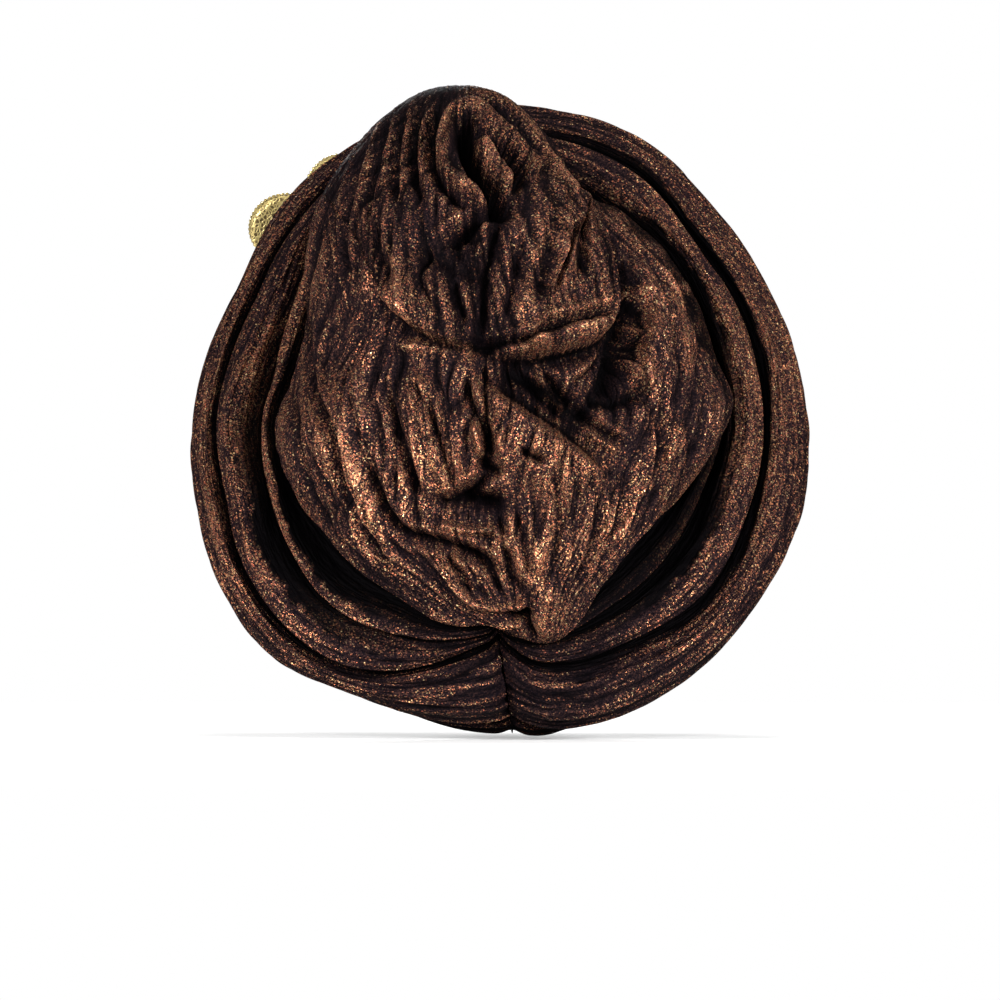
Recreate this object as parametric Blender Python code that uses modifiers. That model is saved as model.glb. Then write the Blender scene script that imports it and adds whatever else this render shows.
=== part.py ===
"""A tied gele head tie of crinkled metallic cloth, with a gold flower brooch.

+X is to the right and +Z is up, seen from behind, and the wearer faces +Y.
The origin is the middle of the head at brow height. Lengths are in metres.

The cloth is a long band that starts and ends at a seam on the nape. Its folds
run round the head as nested pleats, and a gathered crown closes the back.
Angles round the fan are in degrees from the nape, clockwise seen from behind:
90 is the left side, 180 the top and 270 the right side.
"""

import math

import bmesh
import bpy
import numpy as np
from mathutils import Matrix, Vector

# Driving dimensions
FAN_RADIUS = 0.1515  # half the width of the pleated fan
FAN_CENTRE_Z = 0.052  # height of the fan's middle above the brow
HALF_DEPTH = 0.100  # half the depth of the head opening, from nape to brow
CROWN_SQUARENESS = 2.3  # 2 makes the crown's cross-section an oval, and more a box
CROWN_BULGE = 0.128  # how far the crown stands out behind the origin
FOLD_HEIGHT = 0.012  # height of the crown's deepest fold
CLOTH = 0.0018  # wall of the stiffened cloth
SEWN_GAP = 0.0014  # between two pleats along the line where they are sewn
SEAM_GAP = 0.0006  # between the band's two ends at the nape
SEAM_DIP = 0.008  # how far the outer pleat is drawn in at the nape seam
PIN_GAP = 0.0004  # between the brooch and the cloth that it is pinned to

BROOCH_RADIUS = 0.046  # from the brooch's middle to a petal's tip
BROOCH_PETALS = 5
BROOCH_THICKNESS = 0.0022
BROOCH_CENTRE_RADIUS = 0.011
BROOCH_CENTRE_HEIGHT = 0.009
BROOCH_ANGLE = 145.0  # where it sits round the fan
BROOCH_ROWS = (2, 3)  # rows of the front pleat that its middle lies between
BROOCH_TILT = 32.0  # how far it leans outwards from facing straight ahead

# How finely the solids are faceted
PLEAT_STATIONS = 46
FRONT_STATIONS = 36
CROWN_STATIONS = 50
CROWN_RINGS = 20

# Sections of the fan seen from behind, as shares of FAN_RADIUS from its middle
SECTION_COLUMNS = ("angle", "outline", "groove", "middle", "inner_out", "inner_in")
SECTIONS = (
    (0, 0.94, 0.68, 0.67, 0.66, 0.65),
    (8, 0.96, 0.73, 0.71, 0.69, 0.67),
    (16, 0.97, 0.80, 0.75, 0.72, 0.69),
    (30, 0.99, 0.92, 0.79, 0.76, 0.71),
    (45, 1.04, 0.96, 0.83, 0.79, 0.75),
    (60, 1.03, 0.96, 0.83, 0.78, 0.75),
    (75, 1.01, 0.93, 0.81, 0.77, 0.74),
    (90, 1.00, 0.93, 0.83, 0.77, 0.75),
    (105, 0.98, 0.91, 0.80, 0.75, 0.72),
    (120, 0.97, 0.91, 0.80, 0.77, 0.74),
    (135, 1.01, 0.94, 0.87, 0.82, 0.79),
    (150, 1.03, 0.98, 0.89, 0.84, 0.80),
    (180, 1.04, 0.97, 0.87, 0.83, 0.79),
    (210, 1.03, 0.95, 0.80, 0.76, 0.73),
    (225, 0.99, 0.89, 0.79, 0.75, 0.71),
    (240, 0.98, 0.88, 0.76, 0.73, 0.69),
    (255, 0.99, 0.87, 0.75, 0.73, 0.69),
    (270, 1.00, 0.86, 0.75, 0.72, 0.69),
    (285, 1.01, 0.86, 0.73, 0.69, 0.66),
    (300, 1.01, 0.87, 0.73, 0.68, 0.65),
    (315, 1.01, 0.86, 0.72, 0.68, 0.64),
    (330, 1.01, 0.82, 0.72, 0.68, 0.65),
    (344, 1.00, 0.80, 0.73, 0.70, 0.67),
    (352, 0.98, 0.77, 0.72, 0.70, 0.68),
    (360, 0.94, 0.68, 0.67, 0.66, 0.65),
)

# The crown's outline seen from behind, as shares of FAN_RADIUS from the fan's middle
CROWN_OUTLINE = (
    (0, 0.65),
    (16, 0.66),
    (30, 0.64),
    (45, 0.65),
    (60, 0.66),
    (75, 0.70),
    (90, 0.72),
    (100, 0.69),
    (112, 0.69),
    (122, 0.73),
    (130, 0.81),
    (138, 0.90),
    (145, 0.96),
    (152, 1.01),
    (160, 1.07),
    (168, 1.11),
    (175, 1.10),
    (180, 1.07),
    (185, 1.01),
    (191, 0.92),
    (197, 0.82),
    (210, 0.79),
    (225, 0.77),
    (240, 0.74),
    (255, 0.73),
    (264, 0.75),
    (274, 0.71),
    (285, 0.64),
    (300, 0.59),
    (315, 0.58),
    (330, 0.62),
    (340, 0.69),
    (349, 0.71),
    (355, 0.68),
)

# Where neighbouring pleats are sewn together. Depths are shares of HALF_DEPTH.
DEPTH_COLUMNS = ("nape", "side", "top")
OUTER_TO_MIDDLE = (-0.812, 0.078, 0.608)
MIDDLE_TO_INNER = (-0.907, -0.022, 0.528)
INNER_TO_CROWN = (-0.981, -0.111, 0.419)
OUTER_TO_FRONT = (-0.683, 0.330, 0.950)
FRONT_TO_BROW = (-0.603, 0.540, 1.055)

# How far in from the outline the pleats are sewn, as shares of the outline
OUTER_SEWN_AT = 0.68
MIDDLE_SEWN_AT = 0.66
INNER_SEWN_AT = 0.64
CROWN_HEM = 0.007  # least width of the hem that the crown tucks under

# Each row of a pleat lies part of the way between two of its section's lines
PLEAT_COLUMNS = ("from", "to", "part", "nape", "side", "top")
OUTER_PLEAT = (
    ("sewn_outer", "groove", 0.55, -0.815, 0.035, 0.580),
    ("sewn_outer", "groove", 0.90, -0.840, -0.030, 0.550),
    ("groove", "outline", 0.14, -0.880, -0.080, 0.540),
    ("groove", "outline", 0.42, -0.950, -0.070, 0.555),
    ("groove", "outline", 0.76, -0.930, -0.015, 0.620),
    ("groove", "outline", 1.00, -0.800, 0.110, 0.770),
    ("sewn_outer", "outline", 0.93, -0.710, 0.270, 0.930),
    ("sewn_outer", "outline", 0.80, -0.695, 0.350, 1.020),
    ("sewn_outer", "outline", 0.45, -0.700, 0.350, 1.010),
)
MIDDLE_PLEAT = (
    ("sewn_outer", "groove", 0.60, -0.880, -0.010, 0.540),
    ("middle", "groove", 0.90, -0.925, -0.110, 0.460),
    ("middle", "groove", 0.60, -0.960, -0.190, 0.380),
    ("middle", "groove", 0.08, -0.970, -0.185, 0.385),
    ("sewn_middle", "middle", 0.55, -0.940, -0.090, 0.460),
)
INNER_PLEAT = (
    ("sewn_middle", "inner_out", 0.60, -0.975, -0.120, 0.405),
    ("inner_in", "inner_out", 1.00, -0.998, -0.165, 0.350),
    ("inner_in", "inner_out", 0.00, -1.020, -0.205, 0.310),
    ("sewn_inner", "inner_in", 0.50, -1.000, -0.120, 0.360),
)
CROWN_EDGE = (-1.090, -0.305, 0.050)
CROWN_UNDERSIDE = (
    ("sewn_inner", "crown", 0.93, -1.070, -0.260, 0.130),
    ("sewn_inner", "crown", 0.60, -1.065, -0.250, 0.180),
    ("sewn_inner", "crown", 0.30, -1.050, -0.235, 0.240),
)

# The front pleats are ovals: half width, then lowest and highest point from the
# fan's middle, as shares of FAN_RADIUS, then depths as shares of HALF_DEPTH
OVAL_COLUMNS = ("half_width", "bottom", "top", "nape", "side", "top_depth")
OUTER_TO_FRONT_OVAL = (0.693, -0.739, 0.720)
FRONT_PLEAT = (
    (0.818, -0.898, 0.790, -0.665, 0.410, 1.070),
    (0.898, -0.950, 0.830, -0.660, 0.460, 1.130),
    (0.914, -0.970, 0.795, -0.640, 0.540, 1.200),
    (0.878, -0.964, 0.647, -0.620, 0.600, 1.230),
    (0.792, -0.924, 0.488, -0.615, 0.590, 1.180),
)
FRONT_TO_BROW_OVAL = (0.673, -0.845, 0.356)
BROW_BAND = (
    (0.739, -0.911, 0.409, -0.580, 0.600, 1.210),
    (0.752, -0.950, 0.370, -0.565, 0.640, 1.270),
    (0.726, -0.970, 0.224, -0.545, 0.620, 1.290),
    (0.673, -0.983, 0.066, -0.540, 0.520, 1.230),
    (0.607, -0.990, -0.066, -0.540, 0.380, 1.110),
    (0.548, -0.983, -0.158, -0.550, 0.220, 1.000),
)

# The crown's main folds seen from behind: a curve from one end to the other,
# bowed sideways, in shares of FAN_RADIUS from the fan's middle. A fold's width
# is a share of FAN_RADIUS, and its height a share of FOLD_HEIGHT, down if less
# than nothing.
FOLD_COLUMNS = ("x1", "z1", "x2", "z2", "bow", "width", "height")
FOLDS = (
    # upper lobe: a belly on each side of the seam between its tacks
    (-0.36, 0.72, -0.36, 0.36, 0.03, 0.16, 0.50),
    (0.16, 0.64, 0.18, 0.36, -0.04, 0.15, 0.60),
    (0.00, 0.70, -0.06, 0.28, 0.03, 0.07, -0.80),
    # knot at the top, round its dark eye
    (-0.26, 0.84, 0.12, 0.88, -0.14, 0.08, 0.45),
    (0.12, 0.94, 0.13, 0.74, -0.03, 0.08, 0.45),
    (-0.12, 1.02, 0.00, 0.72, 0.03, 0.07, -1.10),
    # creases that run out from the middle tack, and the rolls below them
    (-0.06, 0.26, -0.38, 0.40, -0.04, 0.08, -0.80),
    (-0.56, 0.24, -0.12, 0.20, -0.02, 0.07, 0.60),
    (0.00, 0.28, 0.36, 0.36, 0.02, 0.08, -0.45),
    (0.02, 0.17, 0.34, 0.24, 0.03, 0.08, 0.45),
    (0.36, 0.58, 0.43, 0.14, -0.06, 0.08, -1.00),
    (0.05, 0.05, 0.36, 0.09, 0.02, 0.08, -0.80),
    (-0.05, 0.20, -0.03, -0.13, 0.02, 0.08, -0.90),
    # lower lobe, its bellies and the drapes that gather at the tail
    (-0.42, 0.08, -0.32, -0.34, 0.05, 0.16, 0.60),
    (0.22, -0.08, 0.18, -0.48, -0.04, 0.16, 0.60),
    (-0.50, -0.02, -0.04, -0.56, 0.16, 0.06, -0.60),
    (-0.28, -0.26, 0.04, -0.60, 0.08, 0.06, -0.50),
    (-0.02, -0.14, -0.22, -0.24, 0.03, 0.07, -0.60),
    (0.11, -0.56, 0.16, -0.68, 0.00, 0.07, 0.80),
)
FOLD_SAMPLES = 24

COLOURS = {
    "cloth": ((0.085, 0.045, 0.030), 0.42, 0.55),
    "gold": ((0.78, 0.60, 0.22), 0.35, 0.90),
}


def clear_scene():
    for old in list(bpy.data.objects):
        bpy.data.objects.remove(old)


def material(name):
    colour, roughness, metallic = COLOURS[name]
    made = bpy.data.materials.new(name)
    made.use_nodes = True
    shader = made.node_tree.nodes["Principled BSDF"]
    shader.inputs["Base Color"].default_value = (*colour, 1.0)
    shader.inputs["Roughness"].default_value = roughness
    shader.inputs["Metallic"].default_value = metallic
    return made


def hermite(knots, values, at):
    """A smooth curve through the values, read at any place along the knots."""
    slopes = np.gradient(values, knots)
    i = np.clip(np.searchsorted(knots, at, side="right") - 1, 0, len(knots) - 2)
    span = knots[i + 1] - knots[i]
    t = (at - knots[i]) / span
    start = values[i] * (1 + 2 * t) * (1 - t) ** 2 + slopes[i] * span * t * (1 - t) ** 2
    end = values[i + 1] * t**2 * (3 - 2 * t) + slopes[i + 1] * span * t**2 * (t - 1)
    return start + end


def section_line(name, angle):
    """One line of the fan's sections, in metres from the fan's middle."""
    table = np.array(SECTIONS, float)
    column = SECTION_COLUMNS.index(name)
    return FAN_RADIUS * hermite(table[:, 0], table[:, column], angle)


def crown_line(angle):
    """The crown's outline, in metres from the fan's middle."""
    table = np.array(CROWN_OUTLINE, float)
    knots = np.concatenate([table[:, 0] - 360, table[:, 0], table[:, 0] + 360])
    return FAN_RADIUS * hermite(knots, np.tile(table[:, 1], 3), angle % 360)


def lines_at(angle):
    """Every named line of the section at each angle."""
    lines = {name: section_line(name, angle) for name in SECTION_COLUMNS[1:]}
    lines["crown"] = crown_line(angle)
    lines["sewn_outer"] = OUTER_SEWN_AT * lines["outline"]
    lines["sewn_middle"] = MIDDLE_SEWN_AT * lines["outline"]
    lines["sewn_inner"] = np.minimum(
        INNER_SEWN_AT * lines["outline"], lines["crown"] - CROWN_HEM
    )
    return lines


def depth_at(angle, nape, side, top):
    """Depth of a line that is given at the nape, the sides and the top."""
    turn = np.radians(angle)
    middle = (nape + top) / 2
    lean = (top - nape) / 2
    bow = (middle - side) / 2
    return HALF_DEPTH * ((middle + side) / 2 - lean * np.cos(turn) + bow * np.cos(2 * turn))


def round_fan(angle, radius, depth):
    """Points at a distance from the fan's middle, as a row of (x, y, z)."""
    turn = np.radians(angle)
    x = -radius * np.sin(turn)
    z = FAN_CENTRE_Z - radius * np.cos(turn)
    return np.stack([x, depth, z], axis=-1)


def oval(angle, half_width, bottom, top, depth):
    """Points on an oval shaped like the fan's outline."""
    turn = np.radians(angle)
    outline = section_line("outline", angle)
    middle = FAN_RADIUS * (bottom + top) / 2
    x = -half_width * outline * np.sin(turn)
    z = FAN_CENTRE_Z + middle - (top - bottom) / 2 * outline * np.cos(turn)
    return np.stack([x, depth, z], axis=-1)


def stations(count):
    """Angles round the fan, closer together by the nape where it gathers."""
    t = np.linspace(0, 1, count)
    return 360 * (t - 0.5 * np.sin(2 * math.pi * t) / (2 * math.pi))


def part_seam(points, angle):
    """Moves the band's two ends apart by the seam's gap."""
    points[..., 0] -= SEAM_GAP / 2 * np.cos(np.radians(angle) / 2)
    return points


def sewn_row(angle, line, depths, side):
    """A pleat's sewn edge: side is 1 in front of its neighbour and -1 behind it."""
    radius = lines_at(angle)[line] + side * SEWN_GAP / 2
    offset = side * (CLOTH + SEWN_GAP) / 2
    return round_fan(angle, radius, depth_at(angle, *depths) + offset)


def sewn_oval(angle, shape, depths, side):
    offset = side * (CLOTH + SEWN_GAP) / 2
    return oval(angle, *shape, depth_at(angle, *depths) + offset)


def pleat_rows(angle, table):
    lines = lines_at(angle)
    rows = []
    for start, end, part, *depths in table:
        radius = lines[start] + part * (lines[end] - lines[start])
        rows.append(round_fan(angle, radius, depth_at(angle, *depths)))
    return rows


def oval_rows(angle, table):
    return [oval(angle, *row[:3], depth_at(angle, *row[3:])) for row in table]


def drawn_in(rows, angle, which):
    """Draws the named rows of a pleat in towards the head at the nape seam."""
    from_seam = np.minimum(angle, 360 - angle)
    for row, share in which:
        rows[row][:, 1] += share * SEAM_DIP * np.exp(-((from_seam / 5.0) ** 2))
    return rows


def finish_sheet(bm, name, collection):
    """Turns an open sheet into cloth of the named thickness."""
    mesh = bpy.data.meshes.new(name)
    bm.to_mesh(mesh)
    bm.free()
    mesh.shade_smooth()
    cloth = bpy.data.objects.new(name, mesh)
    collection.objects.link(cloth)
    cloth.data.materials.append(bpy.data.materials["cloth"])
    wall = cloth.modifiers.new("Wall", "SOLIDIFY")
    wall.thickness = CLOTH
    wall.offset = 0.0
    return cloth


def bent_band(name, collection, rows, angle):
    """A flat grid bent to the rows: one row of the grid to each row of points."""
    points = part_seam(np.array(rows), angle)
    across, along = points.shape[0], points.shape[1]
    bm = bmesh.new()
    bmesh.ops.create_grid(bm, x_segments=along - 1, y_segments=across - 1, size=0.5)
    for vert in bm.verts:
        station = round((vert.co.x + 0.5) * (along - 1))
        row = round((vert.co.y + 0.5) * (across - 1))
        vert.co = Vector(points[row, station])
    return finish_sheet(bm, name, collection)


def bezier(fold):
    """Sample points along a fold's curve, in metres from the fan's middle."""
    x1, z1, x2, z2, bow = fold[:5]
    start, end = np.array([x1, z1]), np.array([x2, z2])
    along = end - start
    aside = np.array([-along[1], along[0]]) / np.linalg.norm(along)
    middle = (start + end) / 2 + 2 * bow * aside
    t = np.linspace(0, 1, FOLD_SAMPLES)[:, None]
    curve = (1 - t) ** 2 * start + 2 * t * (1 - t) * middle + t**2 * end
    return FAN_RADIUS * curve, t[:, 0]


def fold_heights(x, z):
    """How far the folds lift the crown at places seen from behind."""
    height = np.zeros_like(x)
    for fold in FOLDS:
        curve, t = bezier(fold)
        width = fold[5] * FAN_RADIUS
        apart = np.hypot(x[..., None] - curve[:, 0], z[..., None] - curve[:, 1])
        nearest = apart.argmin(axis=-1)
        strength = np.sin(math.pi * np.clip(t[nearest], 0.12, 0.88)) ** 0.5
        profile = np.exp(-((apart.min(axis=-1) / width) ** 2))
        height += fold[6] * FOLD_HEIGHT * strength * profile
    return height


def crown_point(angle, share):
    """The crown's outside, from its middle at share 0 to its edge at share 1."""
    radius = crown_line(angle) * share
    edge = depth_at(angle, *CROWN_EDGE)
    height = CROWN_BULGE + edge
    dome = np.sqrt(np.clip(1 - share**CROWN_SQUARENESS, 0, 1))
    points = round_fan(angle, radius, edge - height * dome)
    lift = fold_heights(points[..., 0], points[..., 2] - FAN_CENTRE_Z)
    lift *= np.clip(1.6 * dome, 0, 1)
    steepness = share ** (CROWN_SQUARENESS - 1) * height
    lean = np.arctan2(steepness, np.maximum(dome, 1e-3) * crown_line(angle))
    return round_fan(angle, radius + lift * np.sin(lean), points[..., 1] - lift * np.cos(lean))


def build_crown(collection):
    """A ball opened at its far pole, with its rings moved to the crown's lines."""
    underside = len(CROWN_UNDERSIDE) + 1
    rings = CROWN_RINGS + underside
    bm = bmesh.new()
    bmesh.ops.create_uvsphere(
        bm, u_segments=CROWN_STATIONS, v_segments=rings + 1, radius=1.0
    )
    south = min(bm.verts, key=lambda vert: vert.co.z)
    bmesh.ops.delete(bm, geom=[south], context="VERTS")
    co = np.array([vert.co for vert in bm.verts], float)
    angle = np.degrees(np.arctan2(co[:, 0], co[:, 1])) % 360
    ring = np.rint(np.arccos(np.clip(co[:, 2], -1, 1)) / math.pi * (rings + 1))
    step = np.clip(ring / CROWN_RINGS, 0, 1)
    outside = 0.35 * step + 0.65 * np.sin(step * math.pi / 2)
    points = crown_point(angle, outside)
    under = pleat_rows(angle, CROWN_UNDERSIDE)
    under.append(sewn_row(angle, "sewn_inner", INNER_TO_CROWN, -1))
    for step, row in enumerate(under, start=CROWN_RINGS + 1):
        points[ring == step] = row[ring == step]
    for vert, point in zip(bm.verts, points):
        vert.co = Vector(point)
    return finish_sheet(bm, "crown", collection)


def build_pleats(collection):
    angle = stations(PLEAT_STATIONS)
    outer = pleat_rows(angle, OUTER_PLEAT)
    drawn_in(outer, angle, ((2, 0.3), (3, 1.0), (4, 1.0), (5, 0.6)))
    bent_band(
        "outer_pleat",
        collection,
        [
            sewn_row(angle, "sewn_outer", OUTER_TO_MIDDLE, 1),
            *outer,
            sewn_oval(angle, OUTER_TO_FRONT_OVAL, OUTER_TO_FRONT, -1),
        ],
        angle,
    )
    bent_band(
        "middle_pleat",
        collection,
        [
            sewn_row(angle, "sewn_outer", OUTER_TO_MIDDLE, -1),
            *pleat_rows(angle, MIDDLE_PLEAT),
            sewn_row(angle, "sewn_middle", MIDDLE_TO_INNER, 1),
        ],
        angle,
    )
    bent_band(
        "inner_pleat",
        collection,
        [
            sewn_row(angle, "sewn_middle", MIDDLE_TO_INNER, -1),
            *pleat_rows(angle, INNER_PLEAT),
            sewn_row(angle, "sewn_inner", INNER_TO_CROWN, 1),
        ],
        angle,
    )


def build_front(collection):
    angle = stations(FRONT_STATIONS)
    bent_band(
        "front_pleat",
        collection,
        [
            sewn_oval(angle, OUTER_TO_FRONT_OVAL, OUTER_TO_FRONT, 1),
            *oval_rows(angle, FRONT_PLEAT),
            sewn_oval(angle, FRONT_TO_BROW_OVAL, FRONT_TO_BROW, -1),
        ],
        angle,
    )
    bent_band(
        "brow_band",
        collection,
        [
            sewn_oval(angle, FRONT_TO_BROW_OVAL, FRONT_TO_BROW, 1),
            *oval_rows(angle, BROW_BAND),
        ],
        angle,
    )


def petal_reach(turn):
    """How far the brooch's edge lies from its middle, in a direction in radians."""
    lobe = np.abs(np.cos(BROOCH_PETALS / 2 * (turn - math.pi / BROOCH_PETALS)))
    return BROOCH_RADIUS * (0.62 + 0.38 * lobe**0.7)


def brooch_frame():
    """Where the brooch sits: its own +Z points away from the cloth below it."""
    turn = math.radians(BROOCH_ANGLE)
    tilt = math.radians(BROOCH_TILT)
    outward = Vector((-math.sin(turn), 0.0, -math.cos(turn)))
    ahead = Vector((0.0, 1.0, 0.0))
    normal = ahead * math.cos(tilt) + outward * math.sin(tilt)
    radial = outward * math.cos(tilt) - ahead * math.sin(tilt)
    rows = oval_rows(np.array([BROOCH_ANGLE]), FRONT_PLEAT)
    middle = Vector((rows[BROOCH_ROWS[0]][0] + rows[BROOCH_ROWS[1]][0]) / 2)
    sideways = normal.cross(radial)
    # it lies on the highest point of the front pleat that its petals cover
    cloth = np.array(oval_rows(np.linspace(0, 360, 721), FRONT_PLEAT))
    part = np.linspace(0, 1, 11)[:, None, None, None]
    cloth = cloth[:-1] + part * (cloth[1:] - cloth[:-1]) - np.array(middle)
    along, across = cloth @ np.array(radial), cloth @ np.array(sideways)
    covered = np.hypot(along, across) < petal_reach(np.arctan2(across, along))
    highest = (cloth @ np.array(normal))[covered].max()
    seat = highest + CLOTH / 2 + PIN_GAP + BROOCH_THICKNESS / 2
    place = Matrix((radial, sideways, normal)).transposed().to_4x4()
    place.translation = middle + normal * seat
    return place


def build_brooch(collection):
    """Five rounded petals in one plate, cupped a little, and a domed middle."""
    petals = 12 * BROOCH_PETALS
    outline = bpy.data.curves.new("brooch_petals", "CURVE")
    outline.dimensions = "2D"
    outline.fill_mode = "BOTH"
    outline.extrude = BROOCH_THICKNESS / 2
    rim = outline.splines.new("POLY")
    rim.points.add(petals - 1)
    rim.use_cyclic_u = True
    for i in range(petals):
        turn = 2 * math.pi * i / petals
        reach = petal_reach(turn)
        rim.points[i].co = (reach * math.cos(turn), reach * math.sin(turn), 0.0, 1.0)
    plate = bpy.data.objects.new("brooch_petals", outline)
    collection.objects.link(plate)
    plate.matrix_world = brooch_frame()
    plate.data.materials.append(bpy.data.materials["gold"])

    bpy.ops.mesh.primitive_uv_sphere_add(segments=16, ring_count=8, radius=1.0)
    middle = bpy.context.object
    middle.name = "brooch_middle"
    for old in middle.users_collection:
        old.objects.unlink(middle)
    collection.objects.link(middle)
    bm = bmesh.new()
    bm.from_mesh(middle.data)
    for vert in bm.verts:
        vert.co.x *= BROOCH_CENTRE_RADIUS
        vert.co.y *= BROOCH_CENTRE_RADIUS
        vert.co.z = max(vert.co.z, 0.0) * BROOCH_CENTRE_HEIGHT
    bmesh.ops.remove_doubles(bm, verts=bm.verts, dist=1e-6)
    bm.to_mesh(middle.data)
    bm.free()
    above = Matrix.Translation((0.0, 0.0, BROOCH_THICKNESS / 2 + PIN_GAP))
    middle.matrix_world = brooch_frame() @ above
    middle.data.materials.append(bpy.data.materials["gold"])


def main():
    clear_scene()
    collection = bpy.data.collections.new("gele_head_tie")
    bpy.context.scene.collection.children.link(collection)
    for name in COLOURS:
        material(name)
    build_pleats(collection)
    build_front(collection)
    build_crown(collection)
    build_brooch(collection)


main()
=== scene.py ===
"""The looks of the tied gele head tie: crinkled metallic cloth and a beaded brooch.

+X is to the right and +Z is up, seen from behind, and the wearer faces +Y.
Lengths are in metres. The tables and lines of the folded form are those of the
part's source, repeated here because this script reads nothing but the frame.
"""

import math

import bmesh
import bpy
import numpy as np
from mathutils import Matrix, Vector


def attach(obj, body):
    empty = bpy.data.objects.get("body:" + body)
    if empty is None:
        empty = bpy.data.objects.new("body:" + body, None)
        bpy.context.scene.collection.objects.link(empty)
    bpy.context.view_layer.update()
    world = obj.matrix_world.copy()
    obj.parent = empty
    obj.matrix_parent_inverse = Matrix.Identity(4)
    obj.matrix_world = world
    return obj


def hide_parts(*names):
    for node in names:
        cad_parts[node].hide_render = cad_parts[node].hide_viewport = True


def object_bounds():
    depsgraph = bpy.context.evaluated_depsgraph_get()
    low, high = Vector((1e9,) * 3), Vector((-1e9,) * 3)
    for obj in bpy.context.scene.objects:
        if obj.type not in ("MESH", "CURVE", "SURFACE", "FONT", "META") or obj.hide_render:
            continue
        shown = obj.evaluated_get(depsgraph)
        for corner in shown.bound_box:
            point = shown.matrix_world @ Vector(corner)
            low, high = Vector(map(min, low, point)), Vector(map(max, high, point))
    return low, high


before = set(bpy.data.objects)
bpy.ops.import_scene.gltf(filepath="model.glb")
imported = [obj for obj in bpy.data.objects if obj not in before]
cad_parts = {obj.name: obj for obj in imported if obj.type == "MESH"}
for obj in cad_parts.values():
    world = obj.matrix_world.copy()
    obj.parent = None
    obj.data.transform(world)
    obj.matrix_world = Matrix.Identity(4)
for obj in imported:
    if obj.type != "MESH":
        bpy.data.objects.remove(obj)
cad_low, cad_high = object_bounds()

# Sizes of the folded form, as in the part's source
FAN_RADIUS = 0.1515
FAN_CENTRE_Z = 0.052
HALF_DEPTH = 0.100
CROWN_SQUARENESS = 2.3
CROWN_BULGE = 0.128
SEAM_DIP = 0.008
BROOCH_RADIUS = 0.046
BROOCH_PETALS = 5
BROOCH_THICKNESS = 0.0022
BROOCH_CENTRE_RADIUS = 0.011
BROOCH_CENTRE_HEIGHT = 0.009
BROOCH_ABOVE = 0.0013  # half the cloth's wall and the pin's gap
BROOCH_ANGLE = 145.0
BROOCH_ROWS = (2, 3)
BROOCH_TILT = 32.0

# Sizes that only the looks need
SEWN = 0.0005  # between two sheets along the line where they are sewn
HEM = 0.008  # hidden cloth beyond a sewn line
HEM_STATIONS = 6  # cells of hidden hem beyond each end of a pleat
SEAM_SLANT = 0.14  # how far the nape seam leans to the right on its way down
SEAM_TOP = 0.108  # how far below the fan's middle the slanted seam begins
SEAM_GAP = 0.0002  # half the gap between the two ends of a pleat
SEAM_LIP = 0.0016  # how far both ends are drawn up at the seam
SEAM_REACHES = (1.4, 5.5, 9.0)  # of the lip, the dip and the slant, in degrees
TUCK_DEPTH = 0.010  # how far the hem at the seam goes in, and up
TUCK_RISE = 0.002
PHOTO_STEP = 0.00049  # one step of the photo
PHOTO_SIZE = 1000  # its width and height in steps
FAN_X = 500  # the fan's middle in the photo
FAN_Y = 425
CAMERA_AWAY = 6.0
CAMERA_HEIGHT = 0.0152
AIM_Z = 0.05  # what the lights face
LATTICE = 97  # cells before the noise repeats
CROWN_HALF_WIDTH = 0.105  # of its cloth, where it is widest
CRINKLE_BEND = 0.009  # how far the crown's crinkles stray sideways
GROOVE_WANDER = 0.0017  # how far the edge of a groove's painted shade strays, and farther where that painted shade is widest
WIDE_SHADE_WANDER = 0.0013
DRAWN_BACK = 0.0016  # cloth in a groove
EDGE_HELD = 0.006  # from a pleat's edge to where its ribs have their full height
BROOCH_MARGIN = 0.012  # round the brooch, where the ribs below it begin
DOME_BEAD = 0.0011
FLOOR_RADIUS = 1.2
FLOOR_GAP = 0.004

# Ribs of crinkled cloth, broad, fine and small: width, length and what the seed gains
CROWN_RIBS = ((0.0125, 0.085, 0), (0.0058, 0.042, 10), (0.0030, 0.026, 20))
PLEAT_RIBS = ((0.0095, 0.150, 20), (0.0050, 0.065, 0), (0.0027, 0.032, 10))

# The looks: sizes, then linear colours as red, green and blue
FLAKE_SIZE = 0.00056
NET_SIZE = 0.0021
METALS = (
    (0.0, (0.56, 0.13, 0.07)),
    (0.45, (0.84, 0.31, 0.14)),
    (0.75, (0.94, 0.48, 0.20)),
    (1.0, (1.00, 0.78, 0.40)),
)
DARK_METAL = (0.08, 0.034, 0.027)
GROUND = (0.0034, 0.0021, 0.0034)
# painted shade: the ground's colour where painted light is low, deep in the grooves
GROUND_IN_PAINTED_SHADE = (0.0005, 0.0003, 0.0005)
DULL_THREAD = (0.023, 0.011, 0.010)

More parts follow.
